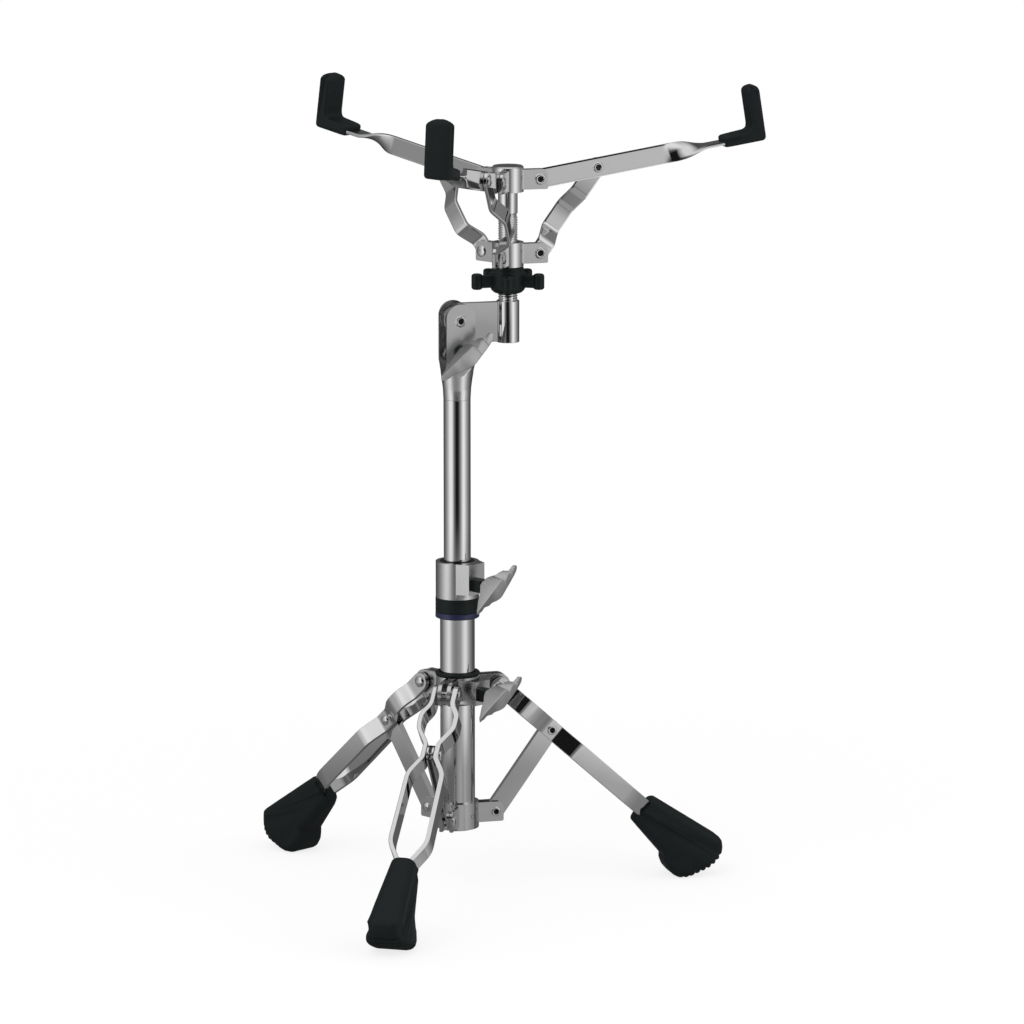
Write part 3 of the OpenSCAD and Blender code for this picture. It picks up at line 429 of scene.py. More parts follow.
# ---------------------------------------------------------------- basket rod with its rolled thread
low, high = corner("basket_rod")
ROD_AT = ((low.x + high.x) / 2, 0, 0)
ROD_R = (high.x - low.x) / 2
THREAD_TOP = 562.5
THREAD_DEEP = 0.95
PITCH = 2.0
CREST_OFF = 0.02


def threaded_rod(z0, z1, around=40):
    """Rod with a rolled thread that runs out into its root at both ends."""
    root = ROD_R - THREAD_DEEP
    tooth = ((0.0, root), (0.18, root), (0.42, ROD_R - CREST_OFF), (0.62, ROD_R - CREST_OFF))
    bm = bmesh.new()
    rows = []
    for i in range(-1, int((z1 - z0) / PITCH) + 2):
        for part, r in tooth:
            row = []
            for j, (c, s) in enumerate(circle(around)):
                z = z0 + (i + part + j / around) * PITCH
                near = min(z1 - z, z - z0) / PITCH
                rr = root + (r - root) * min(1, max(0, near))
                row.append(bm.verts.new((rr * c, rr * s, min(z1, max(z0, z)))))
            rows.append(row)
    step = len(tooth)
    for n, row in enumerate(rows[:-1]):
        for j in range(around - 1):
            bm.faces.new((row[j], row[j + 1], rows[n + 1][j + 1], rows[n + 1][j]))
        if n + step + 1 < len(rows):
            bm.faces.new((row[-1], rows[n + step][0], rows[n + step + 1][0], rows[n + 1][-1]))
    bmesh.ops.remove_doubles(bm, verts=bm.verts, dist=SAME_POINT)
    bmesh.ops.dissolve_degenerate(bm, edges=bm.edges, dist=SAME_POINT)
    bmesh.ops.holes_fill(bm, edges=[e for e in bm.edges if e.is_boundary], sides=400)
    return bm


rod = piece("rolled_thread", threaded_rod(low.z, THREAD_TOP), Matrix.Translation(ROD_AT), "tilt_head", "chrome", 60)
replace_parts(rod, "basket_rod")
piece("plain_rod", lathe([(0, THREAD_TOP - 1), (ROD_R - 1.1, THREAD_TOP - 1), (ROD_R - 1.0, THREAD_TOP + 0.2),
                          (ROD_R - 0.1, THREAD_TOP + 1.4), (ROD_R, THREAD_TOP + 1.8), (ROD_R, high.z - 0.4),
                          (ROD_R - 0.4, high.z), (0, high.z)], around=64),
      Matrix.Translation(ROD_AT), "tilt_head", "chrome")

# ---------------------------------------------------------------- five-lobed nut on the rod
low, high = corner("adjust_nut")
NUT_LOW, NUT_HIGH = low.z, high.z
NUT_BODY = 14.2
NUT_REACH = 31.0
NUT_BORE = ROD_R + 0.25
KNOB_R = 4.6
LOBES = [255 + 72 * k for k in range(5)]
NECK_HALF = 3.2


def knob(z0, z1, r):
    """Upright barrel with rounded ends."""
    lower = [(r - 1.9, 0), (r - 1, 0.3), (r - 0.3, 1), (r, 2)]
    return lathe([(0, z0)] + [(x, z0 + z) for x, z in lower] + [(x, z1 - z) for x, z in lower[::-1]] + [(0, z1)],
                 around=32)


def neck(z0, z1):
    """Web between the nut's body and a knob."""
    shape = outline([(-NECK_HALF, z0), (NECK_HALF, z0), (NECK_HALF, z1), (-NECK_HALF, z1)], 0.8, 4)
    return skin([[(x, p.x, p.y) for p in shape] for x in (NUT_BODY - 3, NUT_BODY, NUT_REACH - KNOB_R)])


middle = (NUT_LOW + NUT_HIGH) / 2
nut_body = ring_lathe([(NUT_BORE, NUT_LOW), (NUT_BODY - 4, NUT_LOW), (NUT_BODY - 2.6, NUT_LOW + 0.6),
                       (NUT_BODY - 0.6, NUT_LOW + 2.6), (NUT_BODY, NUT_LOW + 4.2), (NUT_BODY, NUT_HIGH - 5.4),
                       (NUT_BODY - 0.4, NUT_HIGH - 4.4), (NUT_BODY - 0.9, NUT_HIGH - 3.6),
                       (NUT_BODY - 1.1, NUT_HIGH - 1.6), (NUT_BODY - 1.5, NUT_HIGH - 0.6),
                       (NUT_BODY - 2.4, NUT_HIGH), (NUT_BORE, NUT_HIGH)])
parts = [(nut_body, Matrix.Identity(4))]
for degrees in LOBES:
    parts.append((neck(middle - 6.1, middle + 4.3), turned(degrees)))
    parts.append((knob(middle - 7.2, middle + 5.8, KNOB_R),
                  turned(degrees) @ Matrix.Translation((NUT_REACH - KNOB_R, 0, 0))))
lobed_nut = piece("lobed_nut", gathered(parts), Matrix.Translation(ROD_AT), "adjust_nut", "black_plastic", 50)
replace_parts(lobed_nut, "adjust_nut")

# ---------------------------------------------------------------- rubber feet
low, high = corner("foot_1")
FOOT_W = high.y
FOOT_TOP_W = 10.75
FOOT_SIDE = [(17.8, 14), (20.6, 8), (25.5, 2.4), (30, 0.1), (38, 0), (46, 2.8), (55, 6.2), (61, 9.8), (66, 14),
             (69.0, 18.4), (69.8, 23), (68.8, 28.4), (65.8, 32.4), (11.4, 68.5), (8.2, 68.4), (-7.6, 53.6), (-9, 50.4),
             (18, 18.6)]
FOOT_AT = low.x - min(x for x, z in FOOT_SIDE)
SOLE = [(30, 0)] + FOOT_SIDE[4:10]
SOLE_NEAR = 1.0
TOOTH = 5.6
TOOTH_DEEP = 1.5
TOOTH_FROM = 2
# Half widths by height up the front and by distance along the foot
FOOT_FRONT = [(12, FOOT_W), (20, FOOT_W - 0.6), (32.4, 14.2), (43, 13.2), (62, FOOT_TOP_W), (70, FOOT_TOP_W - 1)]
FOOT_PLAN = [(-9.2, FOOT_TOP_W - 3), (-3, FOOT_TOP_W), (17.6, FOOT_W - 5), (21, FOOT_W - 2.6), (26, FOOT_W - 1),
             (34, FOOT_W), (56, FOOT_W), (62, FOOT_W - 1.3), (66.5, FOOT_W - 3.3), (69.8, FOOT_W - 5.6)]
FOOT_SPINE = ((2, 56), (46, 21))
FOOT_EDGE = 7.5


def sole_place(p):
    """Distance along the sole of a point near it, or None."""
    gone = 0.0
    for a, b in zip(SOLE, SOLE[1:]):
        a, b = Vector(a), Vector(b)
        t = (p - a).dot(b - a) / (b - a).length_squared
        if 0 <= t <= 1 and (a.lerp(b, t) - p).length < SOLE_NEAR:
            return gone + t * (b - a).length
        gone += (b - a).length
    return None


def toothed(shape):
    """The outline with teeth cut into its sole."""
    out = []
    for i, p in enumerate(shape):
        s = sole_place(p)
        if s is not None and s > TOOTH_FROM:
            wave = 0.5 - 0.5 * math.cos(2 * math.pi * s / TOOTH)
            p = p + normal(shape, i) * TOOTH_DEEP * wave ** 2
        out.append(p)
    return out


def foot_half(p):
    return min(table(p.y, FOOT_FRONT), table(p.x, FOOT_PLAN))


foot_shape = toothed(outline(FOOT_SIDE, 0.8, 3))
foot_ways = to_spine(foot_shape, *FOOT_SPINE, FOOT_EDGE)
for k, az in AZIMUTH.items():
    boot = piece(f"rubber_foot_{k}", pillow(foot_shape, foot_ways, foot_half, FOOT_EDGE, 8),
                 turned(az) @ Matrix.Translation((FOOT_AT, 0, 0)), f"leg_{k}", "black_rubber", 50)
    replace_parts(boot, f"foot_{k}")

# ---------------------------------------------------------------- rubber tips of the arms
ARM_PIVOT = Vector((26.4, 0, 591.0))
ARM_SLOPE = 9.0
TIP_END = 193.0
TIP_THICK = 10.6
TIP_FOOT = 36.0
TIP_TOP = 43.2
TIP_LOW = -3.5
TIP_HALF = 10.7
TIP_EDGE = 2.6
inner = TIP_END - TIP_THICK
back = TIP_END - TIP_FOOT
TIP_SIDE = [(back + 0.8, TIP_LOW), (TIP_END - 2.4, TIP_LOW), (TIP_END - 0.6, TIP_LOW + 1), (TIP_END, -0.5),
            (TIP_END, TIP_TOP - 5), (TIP_END - 0.9, TIP_TOP - 2.2), (TIP_END - 3, TIP_TOP - 0.6),
            (TIP_END - 5.3, TIP_TOP), (inner + 3, TIP_TOP - 0.6), (inner + 0.9, TIP_TOP - 2.2), (inner, TIP_TOP - 5),
            (inner, 11), (inner - 0.9, 7.6), (inner - 3.4, 6.4), (back + 2, 5.4), (back + 0.4, 4.6), (back, 3)]
# Half widths by height up to the crown and by distance along the arm
TIP_CROWN = [(TIP_TOP - 5.2, TIP_HALF), (TIP_TOP - 3.4, TIP_HALF - 0.6), (TIP_TOP - 1.8, TIP_HALF - 2.2),
             (TIP_TOP - 0.6, TIP_HALF - 4.4), (TIP_TOP, TIP_HALF - 6.2)]
TIP_PLAN = [(back, TIP_HALF - 0.9), (back + 6, TIP_HALF)]


def tip_half(p):
    return min(table(p.y, TIP_CROWN), table(p.x, TIP_PLAN))


def arm_place(az):
    """The frame of an arm: X along it, its pin at the origin."""
    return (turned(az, ROD_AT) @ Matrix.Translation(ARM_PIVOT)
            @ Matrix.Rotation(math.radians(-ARM_SLOPE), 4, "Y"))


tip_shape = outline(TIP_SIDE, 0.9, 2)
tip_ways = to_inside(tip_shape, TIP_EDGE)
for k, az in AZIMUTH.items():
    cap = piece(f"rubber_tip_{k}", pillow(tip_shape, tip_ways, tip_half, TIP_EDGE, 6), arm_place(az), f"arm_{k}",
                "black_rubber", 60)
    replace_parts(cap, f"tip_{k}")

# ---------------------------------------------------------------- flat straps: the arms and the bent struts
ARM_W, ARM_T = 16.0, 3.0
# From where to where the arm turns a quarter; where it bends up, and the radius there
ARM_TWIST = (106, 146)
ARM_BEND = (186.7, 5.0)
# How far below the top of the rubber tip the arm ends, and its width there as a share
ARM_SHORT = 18
ARM_NARROW = 0.7
STRUT_W, STRUT_T = 15.5, 2.8
STRUT_RIVET = 50.2
FACE_GAP = 0.2
STRUT_OUT = (ARM_T + STRUT_T) / 2 + FACE_GAP
STRUT_BULGE = 13.3
STRUT_SOFT = 3.6
# The end of a strap starts at this share of the quarter turn, so that it isn't a point
END_FROM = 0.06
ALONG_X, ALONG_Y, ALONG_Z = Vector((1, 0, 0)), Vector((0, 1, 0)), Vector((0, 0, 1))


def strap(stations, width, thick):
    """Strap of this cross-section through stations of (centre, direction across, direction of the width)."""
    x, y = thick / 2, width / 2
    flat = outline([(-x, -y), (x, -y), (x, y), (-x, y)], 0.7, 1)
    return skin([[centre + across * q.x + wide * q.y for q in flat] for centre, across, wide in stations])


def round_end(half, parts=8):
    """(distance beyond the pin, share of the full width) round the half circle at the end of a strap."""
    turns = [math.pi / 2 * (END_FROM + (1 - END_FROM) * i / parts) for i in range(parts + 1)]
    return [(half * math.cos(t), math.sin(t)) for t in turns]


def bent(points, soft, parts=8):
    """The path with each corner taken off over the length soft on both sides."""
    out = [points[0]]
    for a, corner_at, c in zip(points, points[1:], points[2:]):
        start = corner_at + (a - corner_at).normalized() * soft
        stop = corner_at + (c - corner_at).normalized() * soft
        for i in range(parts + 1):
            t = i / parts
            out.append(start * (1 - t) ** 2 + corner_at * 2 * t * (1 - t) + stop * t ** 2)
    return out + [points[-1]]


def arm_strap():
    """Arm along X: flat on edge, then a quarter twist, then a strip that turns up inside the rubber tip."""
    stations = [(Vector((-x, 0, 0)), ALONG_Y, ALONG_Z * share) for x, share in round_end(ARM_W / 2)]
    stations += [(Vector((x, 0, 0)), ALONG_Y, ALONG_Z) for x in range(17, ARM_TWIST[0], 17)]
    for x in range(ARM_TWIST[0], ARM_TWIST[1] + 1):
        gone = (x - ARM_TWIST[0]) / (ARM_TWIST[1] - ARM_TWIST[0])
        turn = math.pi / 2 * gone ** 2 * (3 - 2 * gone)
        stations.append((Vector((x, 0, 0)), Vector((0, math.cos(turn), -math.sin(turn))),
                         Vector((0, math.sin(turn), math.cos(turn)))))
    x, r = ARM_BEND
    parts = 6
    for i in range(parts + 1):
        turn = math.pi / 2 * i / parts
        stations.append((Vector((x - r + r * math.sin(turn), 0, r - r * math.cos(turn))),
                         Vector((math.sin(turn), 0, -math.cos(turn))), ALONG_Y))
    stations.append((Vector((x, 0, TIP_TOP - ARM_SHORT)), ALONG_X, ALONG_Y * ARM_NARROW))
    return strap(stations, ARM_W, ARM_T)


def strut_strap(length):
    """Strut along X, on edge, with its sideways bulge."""
    middle = bent([Vector(p) for p in ((0, 0, 0), (10.6, 0, 0), (22, STRUT_BULGE, 0), (45, STRUT_BULGE, 0),
                                       (length - 26, STRUT_OUT, 0), (length, STRUT_OUT, 0))], STRUT_SOFT)
    path = [(Vector((-x, 0, 0)), share) for x, share in round_end(STRUT_W / 2)] + [(p, 1) for p in middle[1:-1]]
    path += [(Vector((length + x, STRUT_OUT, 0)), share) for x, share in round_end(STRUT_W / 2)[::-1]]
    stations = []
    for i, (p, share) in enumerate(path):
        run = (path[min(i + 1, len(path) - 1)][0] - path[max(i - 1, 0)][0]).normalized()
        stations.append((p, Vector((-run.y, run.x, 0)), ALONG_Z * share))
    return strap(stations, STRUT_W, STRUT_T)


STRUT_PIVOT = joint_point("strut_hinge_1") - Vector(ROD_AT)
ARM_WAY = Vector((math.cos(math.radians(ARM_SLOPE)), 0, math.sin(math.radians(ARM_SLOPE))))
strut_run = ARM_PIVOT + ARM_WAY * STRUT_RIVET - STRUT_PIVOT
strut_rise = Matrix.Rotation(-math.atan2(strut_run.z, strut_run.x), 4, "Y")
for k, az in AZIMUTH.items():
    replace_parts(piece(f"arm_strap_{k}", arm_strap(), arm_place(az), f"arm_{k}", "chrome"), f"arm_{k}")
    place = turned(az, ROD_AT) @ Matrix.Translation(STRUT_PIVOT) @ strut_rise
    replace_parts(piece(f"strut_strap_{k}", strut_strap(strut_run.length), place, f"strut_{k}", "chrome"), f"strut_{k}")

# ---------------------------------------------------------------- wing bolts
WING_H = 17.0
# Along the wing: its ridge, its far edge and that edge's height, its depth, and the side's and the underside's edges
WING_RIDGE = [(-29, 0.6), (-28.5, 1.8), (-27.2, 2.7), (-17, 2.8), (-8, 3.1), (1.7, 3.7), (7.4, 3.9), (8.4, 3.4),
              (9, 1.8), (9.5, -0.5), (11.5, 0.2), (15, 1.7), (16.8, 2.3), (17.7, 1.9), (18.2, 0.2), (18.6, -1.9),
              (21, -0.4), (24.2, 1.8), (25.6, 2), (26.6, 1.2), (27.2, -0.6)]
WING_FAR = [(-29, -0.4), (-28.4, -1.6), (-27, -2.8), (-23.5, -4.2), (-20, -4.3), (-17, -5.4), (-12.5, -8),
            (-9.5, -8.6), (-6, -9.9), (-1, -10.2), (3, -9.5), (8.5, -8.4), (14, -7.4), (19.2, -6.2), (24, -4.6),
            (26, -3.4), (27.2, -1.6)]
WING_FAR_Z = [(-29, 15), (-25, 12.6), (-21, 12.8), (-17.5, 11.4), (-12.5, 11.8), (-8, 10.6), (-4, 13.6), (0, 15),
              (20, 15.4), (27.2, 15.8)]
WING_DEPTH = [(-29, 1.8), (-27.6, 2.6), (-24.7, 3.8), (-18.4, 7.6), (-10.6, 11.2), (-5, 15), (-3, 16), (5, 16.2),
              (6.2, 15.8), (8.6, 13.2), (11.9, 9.8), (14.7, 9), (17.4, 7.4), (18.6, 5.2), (20.6, 3.6), (25, 2.8),
              (27.2, 2)]
WING_SIDE = [(-29, 0.8), (-27, 2.8), (-18, 3.6), (-8, 4.4), (-4, 4.8), (6, 4.8), (9, 4.2), (14, 3.6), (17.6, 3),
             (19.5, 1.2), (25, 2.3), (27.2, -0.3)]
WING_UNDER = [(-29, 0.1), (-27, -1), (-18, -2.6), (-11, -4), (-5, -4.6), (6, -4.6), (14, -5), (20, -4.6), (25, -3),
              (27.2, -1.2)]
WING_ENDS = (-29, 27.2)
# Cross-sections, closer together where the ridge steps
WING_PLACES = [-29, -28.8, -28.3, -27.4, -26] + list(range(-25, 8, 2)) + [
    7.6, 8.2, 8.6, 9, 9.3, 9.7, 10.5, 12, 13.5, 15, 16.4, 17.2, 17.7, 18, 18.3, 18.8, 19.6, 21, 22.6, 24, 25.2, 26.2,
    26.9, 27.2]
WING_ROUNDING = (0.5, 1.5, 1.5, 1, 0.7)
WING_BOSS = [(3.06, 0), (4.6, 0), (4.9, 0.4), (4.8, 3), (4.4, 6), (3.6, 10), (0, 12)]


def rounded(corners, radii, parts):
    """Closed polygon with its corners rounded, the same number of points each time."""
    out = []
    for i, (c, r) in enumerate(zip(corners, radii)):
        a, b = corners[i - 1] - c, corners[(i + 1) % len(corners)] - c
        a, b = a.normalized() * min(r, a.length * 0.45), b.normalized() * min(r, b.length * 0.45)
        for j in range(parts + 1):
            t = j / parts
            out.append(c + a * (1 - t) ** 2 + b * t ** 2)
    return out


def wing():
    """Winged head of a clamp bolt: Z along the bolt, the clamped face at Z = 0."""
    rings = []
    for x in WING_PLACES:
        ridge, far, side, under = (table(x, t) for t in (WING_RIDGE, WING_FAR, WING_SIDE, WING_UNDER))
        end = min(1, 0.2 + min(x - WING_ENDS[0], WING_ENDS[1] - x) / 1.5)
        top = WING_H - 0.8 * (1 - end)
        low = WING_H - table(x, WING_DEPTH)
        edge = table(x, WING_FAR_Z)
        lower = max(low + 0.3, edge - 3)
        corners = [Vector((ridge, top)), Vector((far, edge)), Vector((far + 0.5, min(lower, edge - 0.5))),
                   Vector((under, low)), Vector((max(side, under + 0.5), low + 0.1))]
        rings.append([(x, p.x, p.y) for p in rounded(corners, WING_ROUNDING, 4)])
    return lathe(WING_BOSS, skin(rings), 36)


BOSS_AZIMUTH = 300
OUT_OF_FORK = Matrix.Rotation(math.pi / 2, 4, "X")
OUT_OF_BOSS = turned(BOSS_AZIMUTH) @ Matrix.Rotation(math.pi / 2, 4, "Y")
for node, facing, spin in (("clamp_wing", OUT_OF_BOSS, 128), ("tilt_wing", OUT_OF_FORK, 41),
                           ("collar_wing", OUT_OF_BOSS, 122)):
    place = Matrix.Translation(joint_point(f"{node}_turn")) @ facing @ turned(spin)
    handle = piece(f"{node}_handle", wing(), place, node, "cast_metal", 32)
    dress(handle, "wing")
    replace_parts(handle, node)

# ---------------------------------------------------------------- rivets and the screw of the leg hub
TO_SIDE = Matrix.Rotation(-math.pi / 2, 4, "X")


def rivets(name, places, near, far, pin, head, body, node, deep=1.6):
    """Rivets along the local Y of each place: rolled ring round a hollow this deep at near, dome at far; the hollow's
    floor and wall get painted shade.
    """
    around = 32
    parts = []
    for place in places:
        one = lathe([(0, near + deep), (head * 0.4, near + deep), (head * 0.46, near - 0.3), (head * 0.56, near - 1.0),
                     (head * 0.72, near - 1.15), (head * 0.9, near - 0.8), (head, near), (pin, near), (pin, far),
                     (head, far), (head, far + 0.5), (head * 0.9, far + 0.95), (head * 0.66, far + 1.4),
                     (head * 0.33, far + 1.62), (0, far + 1.7)], around=around)
        one.faces.ensure_lookup_table()
        # The first two rows of faces, the hollow's floor and wall, take the painted shade
        for face in one.faces[:2 * around]:
            face.material_index = 1
        parts.append((one, place @ TO_SIDE))
    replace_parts(piece(name, gathered(parts), Matrix.Identity(4), body, "chrome", 45, "painted_shade"), node)


def spread(at, centre=(0, 0, 0)):
    """This place in each of the three directions."""
    return [turned(az, centre) @ Matrix.Translation(at) for az in AZIMUTH.values()]


PIN = 2.6
BASKET_PIN = 2.4
LEG_SLOPE = 42.0
BRACE_RIVET = 60.5
PINCH = 7.3
HUB_EAR = 5.5
BAND_EAR = 4.1
COLLAR_EAR = 10.9
LEG_PIVOT = joint_point("leg_hinge_1")
BRACE_PIVOT = joint_point("brace_hinge_1")
rivets("brace_pins", spread(BRACE_PIVOT), -HUB_EAR, HUB_EAR, PIN, 4.1, "base", "leg_hub_rivets")
rivets("leg_pins", spread(LEG_PIVOT), -COLLAR_EAR, COLLAR_EAR, PIN, 4.6, "collar", "collar_rivets")
rivets("arm_pins", spread(ARM_PIVOT, ROD_AT), -BAND_EAR, BAND_EAR, BASKET_PIN, 4.8, "tilt_head", "top_hub_rivets")
rivets("strut_pins", spread(STRUT_PIVOT, ROD_AT), -BAND_EAR, BAND_EAR, BASKET_PIN, 4.8, "basket_slider",
       "low_hub_rivets")
for k, az in AZIMUTH.items():
    leg_place = turned(az) @ Matrix.Translation(LEG_PIVOT) @ Matrix.Rotation(math.radians(LEG_SLOPE), 4, "Y")
    rivets(f"brace_rivet_{k}", [leg_place @ Matrix.Translation((BRACE_RIVET, 0, 0))], -PINCH, PINCH, PIN, 4.2,
           f"leg_{k}", f"leg_rivet_{k}")
    rivets(f"strut_rivet_{k}", [arm_place(az) @ Matrix.Translation((STRUT_RIVET, 0, 0))], -1.5, 4.7, BASKET_PIN, 4.4,
           f"arm_{k}", f"arm_rivet_{k}", -0.05)

low, high = corner("leg_hub")
HUB_R = 17.3
HUB_SCREW = [(0, -1.6), (1.2, -1.6), (1.35, 0), (1.7, 0.25), (2, 0.1), (2, -2.4), (0, -2.4)]
hub_side = Matrix.Translation((HUB_R, 0, (low.z + high.z) / 2)) @ Matrix.Rotation(math.pi / 2, 4, "Y")
piece("hub_screw", lathe(HUB_SCREW, around=24), turned(BOSS_AZIMUTH) @ hub_side, "base", "black_plastic", 30)

# ---------------------------------------------------------------- tilter pivot and its clamp bolt
CHEEK_OUT = 13.5
TILT_SPACER = 6.0
TILT_PIVOT = joint_point("basket_tilt")
TILT_BOLT = joint_point("tilt_wing_turn")
rivets("tilt_pivot_rivet", [Matrix.Translation((0, 0, TILT_PIVOT.z))], -CHEEK_OUT, CHEEK_OUT, 3, 4.8, "column",
       "tilt_pin")
along_bolt = Matrix.Translation((0, 0, TILT_BOLT.z)) @ TO_SIDE
end = -CHEEK_OUT - TILT_SPACER
SHANK = [(0, end - 7.4), (2.2, end - 7.4), (2.9, end - 6.7), (2.9, CHEEK_OUT), (5.2, CHEEK_OUT),
         (5.6, CHEEK_OUT + 0.5), (5.6, CHEEK_OUT + 2), (5.2, CHEEK_OUT + 2.7), (4.2, CHEEK_OUT + 3),
         (2.4, CHEEK_OUT + 3), (2.2, CHEEK_OUT + 1.6), (0, CHEEK_OUT + 1.4)]
SPACER = [(2.95, end + 0.1), (4.6, end + 0.1), (5, end + 0.5), (5, -CHEEK_OUT - 0.5), (4.6, -CHEEK_OUT - 0.05),
          (2.95, -CHEEK_OUT - 0.05)]
shank = piece("tilt_bolt_shank", lathe(SHANK, around=36), along_bolt, "column", "chrome", 30)
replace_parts(shank, "tilt_bolt")
piece("tilt_spacer", ring_lathe(SPACER, 36), along_bolt, "column", "black_plastic", 30)

# ---------------------------------------------------------------- rubber ring of the leg collar, and a black ring of painted shade under its lower edge
TUBE_R = 14.4
# Outer and inner radius of the black ring of painted shade under the collar
SHADE_RING_R = 17.6
SHADE_RING_IN = TUBE_R + 0.2
SEAL_R, SEAL_HALF = 2.0, 1.75
low, high = corner("collar_ring")
middle = (low.z + high.z) / 2
seal = piece("collar_seal", ring_lathe([(TUBE_R + 2.1 + SEAL_R * c, middle + SEAL_HALF * s) for c, s in circle(20)]),
             Matrix.Identity(4), "collar", "black_plastic", 80)
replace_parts(seal, "collar_ring")

# A thin black ring just under the collar's lower edge: painted shade, the dark line along that edge
rim = corner("leg_collar")[0].z
piece("collar_shade_ring", ring_lathe([(SHADE_RING_IN, rim - 0.9), (SHADE_RING_R - 0.3, rim - 0.9), (SHADE_RING_R, rim - 0.6),
                                  (SHADE_RING_R, rim - 0.05), (SHADE_RING_IN, rim - 0.05)]),
      Matrix.Identity(4), "collar", "black_plastic", 40)

# ---------------------------------------------------------------- studio
# The studio stands square to this fixed side of the stand, the one that the photograph shows
FRONT = (-math.cos(CAM_YAW), -math.sin(CAM_YAW), 0.0)
RIGHT = (math.sin(CAM_YAW), -math.cos(CAM_YAW), 0.0)
# What a mirror on the stand sees round it, by the degrees from the front: two soft boxes, one at either side of the
# front, with the dark studio between them and dim walls behind the stand
WALLS = [(-180, 0.05), (-146, 0.07), (-108, 0.34), (-84, 0.72), (-62, 1.4), (-43, 1.3), (-25, 0.28), (-9, 0.012),
         (10, 0.016), (24, 0.24), (30, 0.46), (38, 0.7), (50, 1.32), (62, 1.4), (83, 0.72), (108, 0.3), (146, 0.05),
         (180, 0.04)]
# The same nearer the horizon, and above it, where the dark part is wider
HIGH = [(-180, 0.05), (-146, 0.07), (-108, 0.28), (-90, 0.42), (-75, 0.8), (-62, 1.4), (-43, 1.3), (-25, 0.28),
        (-12, 0.012), (8, 0.016), (18, 0.3), (26, 0.72), (36, 0.9), (46, 1.32), (62, 1.4), (83, 0.72), (108, 0.3),
        (146, 0.05), (180, 0.04)]
OVER = [(-180, 0.1), (-112, 0.3), (-78, 0.8), (-62, 1.3), (-46, 1.2), (-34, 0.2), (-28, 0.012), (28, 0.012), (36, 0.2),
        (48, 1.2), (62, 1.3), (80, 0.75), (112, 0.3), (180, 0.1)]
# Levels that the floor glows with for mirrors, painted light: the paper in front of the stand as the soft boxes light
# it, and a painted shadow on the paper right under it
PAPER = [(-180, 0.06), (-155, 0.09), (-119, 0.23), (-97, 0.53), (-78, 0.9), (-62, 1.19), (-52, 1.12), (-33, 0.56),
         (-20, 0.39), (-5, 0.35), (8, 0.42), (20, 0.48), (33, 0.78), (47, 1.2), (62, 1.1), (78, 0.62), (97, 0.35),
         (119, 0.14), (180, 0.06)]
UNDER = [(-180, 0.1), (-130, 0.2), (-95, 0.32), (-60, 0.2), (-25, 0.2), (-8, 0.3), (8, 0.5), (25, 0.56), (36, 0.42),
         (46, 0.6), (58, 0.5), (90, 0.36), (130, 0.16), (180, 0.1)]
CEILING = (1.15, 1.15, 1.15, 1)
WHITE = (1, 1, 1, 1)
# Where one of these gives way to the next: by half the height of the direction plus a half, and for the ceiling by
# that height, tilted a little toward the front
WALLS_TO_HIGH = (0.42, 0.437)
HIGH_TO_OVER = (0.5, 0.525)
TO_CEILING = (0.6, 0.95)
CEILING_TILT = 0.15
# On the floor, by the distance from the stand in metres
UNDER_TO_PAPER = (0.45, 0.68)
PAPER_TO_WALLS = (1.2, 1.65)
FLOOR_R = 3.2
FLOOR_GREY = (0.9, 0.9, 0.9, 1)
# Share of plain white in what the camera sees of the floor; the rest is the lit floor with the stand's shadow
SHADED = ((0.42, 0.8), (0.87, 1.0))
WORLD_LIGHT = 0.85


def toward(net, way, direction):
    return net.add("ShaderNodeVectorMath", i0=way, i1=direction, p_operation="DOT_PRODUCT").outputs["Value"]


def all_round(net, way, levels):
    """Level by the direction of a vector round the stand."""
    turn = net.math("ARCTAN2", toward(net, way, RIGHT), toward(net, way, FRONT))
    return net.ramp(net.math("MULTIPLY_ADD", turn, 1 / (2 * math.pi), 0.5), [((a + 180) / 360, v) for a, v in levels])


def change(net, at, span):
    """0 to 1 over this span."""
    return net.ramp(at, [(span[0], 0.0), (span[1], 1.0)])


floor_mesh = bpy.data.meshes.new("floor")
bm = bmesh.new()
bmesh.ops.create_circle(bm, cap_ends=True, radius=FLOOR_R, segments=96)
bm.to_mesh(floor_mesh)
bm.free()
floor = bpy.data.objects.new("floor", floor_mesh)
bpy.context.scene.collection.objects.link(floor)
floor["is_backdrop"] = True

# The floor is lit as paper. The camera sees it white apart from the shadow. Mirrors see it glow instead, with painted
# light and a painted shadow under the stand, turning into the walls
floor_mat, net = material("studio_floor")
lit = net.add("ShaderNodeBsdfDiffuse", Color=FLOOR_GREY)
at = object_space(net)
away = net.add("ShaderNodeVectorMath", i0=at, p_operation="LENGTH").outputs["Value"]
away = net.math("DIVIDE", away, FLOOR_R)
shaded = net.ramp(away, [(distance / FLOOR_R, v) for distance, v in SHADED])
near = change(net, away, [distance / FLOOR_R for distance in UNDER_TO_PAPER])
faded = change(net, away, [distance / FLOOR_R for distance in PAPER_TO_WALLS])
seen = net.mix(near, all_round(net, at, UNDER), all_round(net, at, PAPER))
seen = net.mix(faded, seen, all_round(net, at, WALLS))
ray = net.add("ShaderNodeLightPath")
mirrored = net.math("MAXIMUM", ray.outputs["Is Glossy Ray"], ray.outputs["Is Transmission Ray"])
glow = net.add("ShaderNodeEmission", Color=net.mix(mirrored, WHITE, seen), Strength=1.0)
share = net.math("MAXIMUM", mirrored, net.math("MULTIPLY", ray.outputs["Is Camera Ray"], shaded))
both = net.add("ShaderNodeMixShader", i0=share, i1=lit, i2=glow)
net.add("ShaderNodeOutputMaterial", Surface=both)
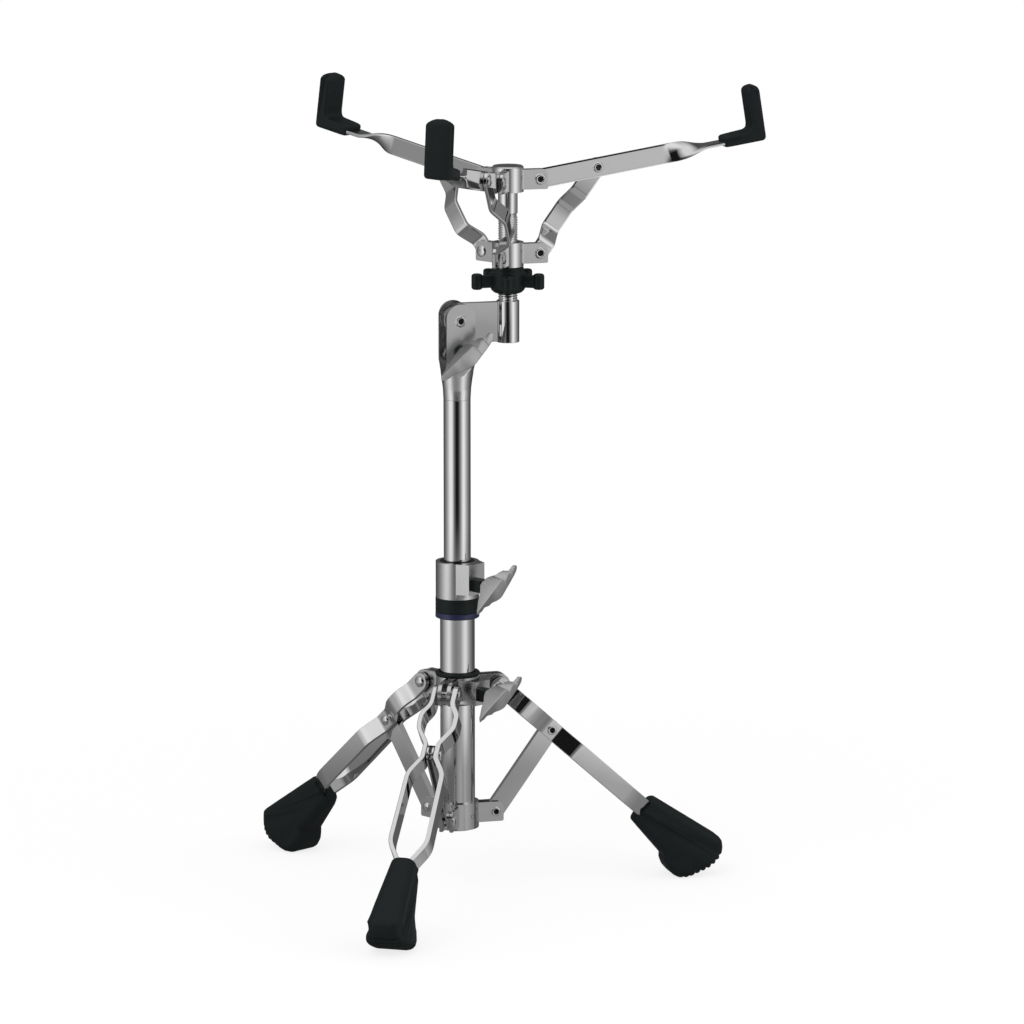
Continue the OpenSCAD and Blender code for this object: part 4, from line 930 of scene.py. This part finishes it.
floor_mesh.materials.append(floor_mat)

world = bpy.data.worlds.new("studio")
bpy.context.scene.world = world
world.use_nodes = True
net = Net(world.node_tree)
way = net.add("ShaderNodeTexCoord").outputs["Generated"]
up = net.add("ShaderNodeSeparateXYZ", Vector=way).outputs[2]
level = net.math("MULTIPLY_ADD", up, 0.5, 0.5)
walls = net.mix(change(net, level, WALLS_TO_HIGH), all_round(net, way, WALLS), all_round(net, way, HIGH))
walls = net.mix(change(net, level, HIGH_TO_OVER), walls, all_round(net, way, OVER))
above = change(net, net.math("MULTIPLY_ADD", toward(net, way, FRONT), CEILING_TILT, up), TO_CEILING)
mirror = net.mix(above, walls, CEILING)
ray = net.add("ShaderNodeLightPath")
plain = net.add("ShaderNodeBackground", Color=WHITE, Strength=WORLD_LIGHT)
shiny = net.add("ShaderNodeBackground", Color=mirror, Strength=1.0)
back = net.add("ShaderNodeBackground", Color=WHITE, Strength=1.0)
mixed = net.add("ShaderNodeMixShader", i0=ray.outputs["Is Glossy Ray"], i1=plain, i2=shiny)
seen = net.math("MAXIMUM", ray.outputs["Is Camera Ray"], ray.outputs["Is Transmission Ray"])
mixed = net.add("ShaderNodeMixShader", i0=seen, i1=mixed, i2=back)
net.add("ShaderNodeOutputWorld", Surface=mixed)

# Soft boxes: where they hang, their sides in metres and their power in watts; mirrors don't show them
LAMPS = (("key", (-1.6, -1.4, 2.2), (2.2, 2.2), 30),
         ("fill", (1.8, -1.2, 1.2), (1.6, 2.2), 12))
LAMP_AIM = Vector((0, 0, 0.35))
for name, at, size, power in LAMPS:
    data = bpy.data.lights.new(name, "AREA")
    data.shape = "RECTANGLE"
    data.size, data.size_y = size
    data.energy = power
    lamp = bpy.data.objects.new(name, data)
    bpy.context.scene.collection.objects.link(lamp)
    lamp.location = at
    lamp.visible_glossy = False
    lamp.rotation_euler = (LAMP_AIM - Vector(at)).to_track_quat("-Z", "Y").to_euler()

bpy.context.scene.view_settings.view_transform = "Standard"

low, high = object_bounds()
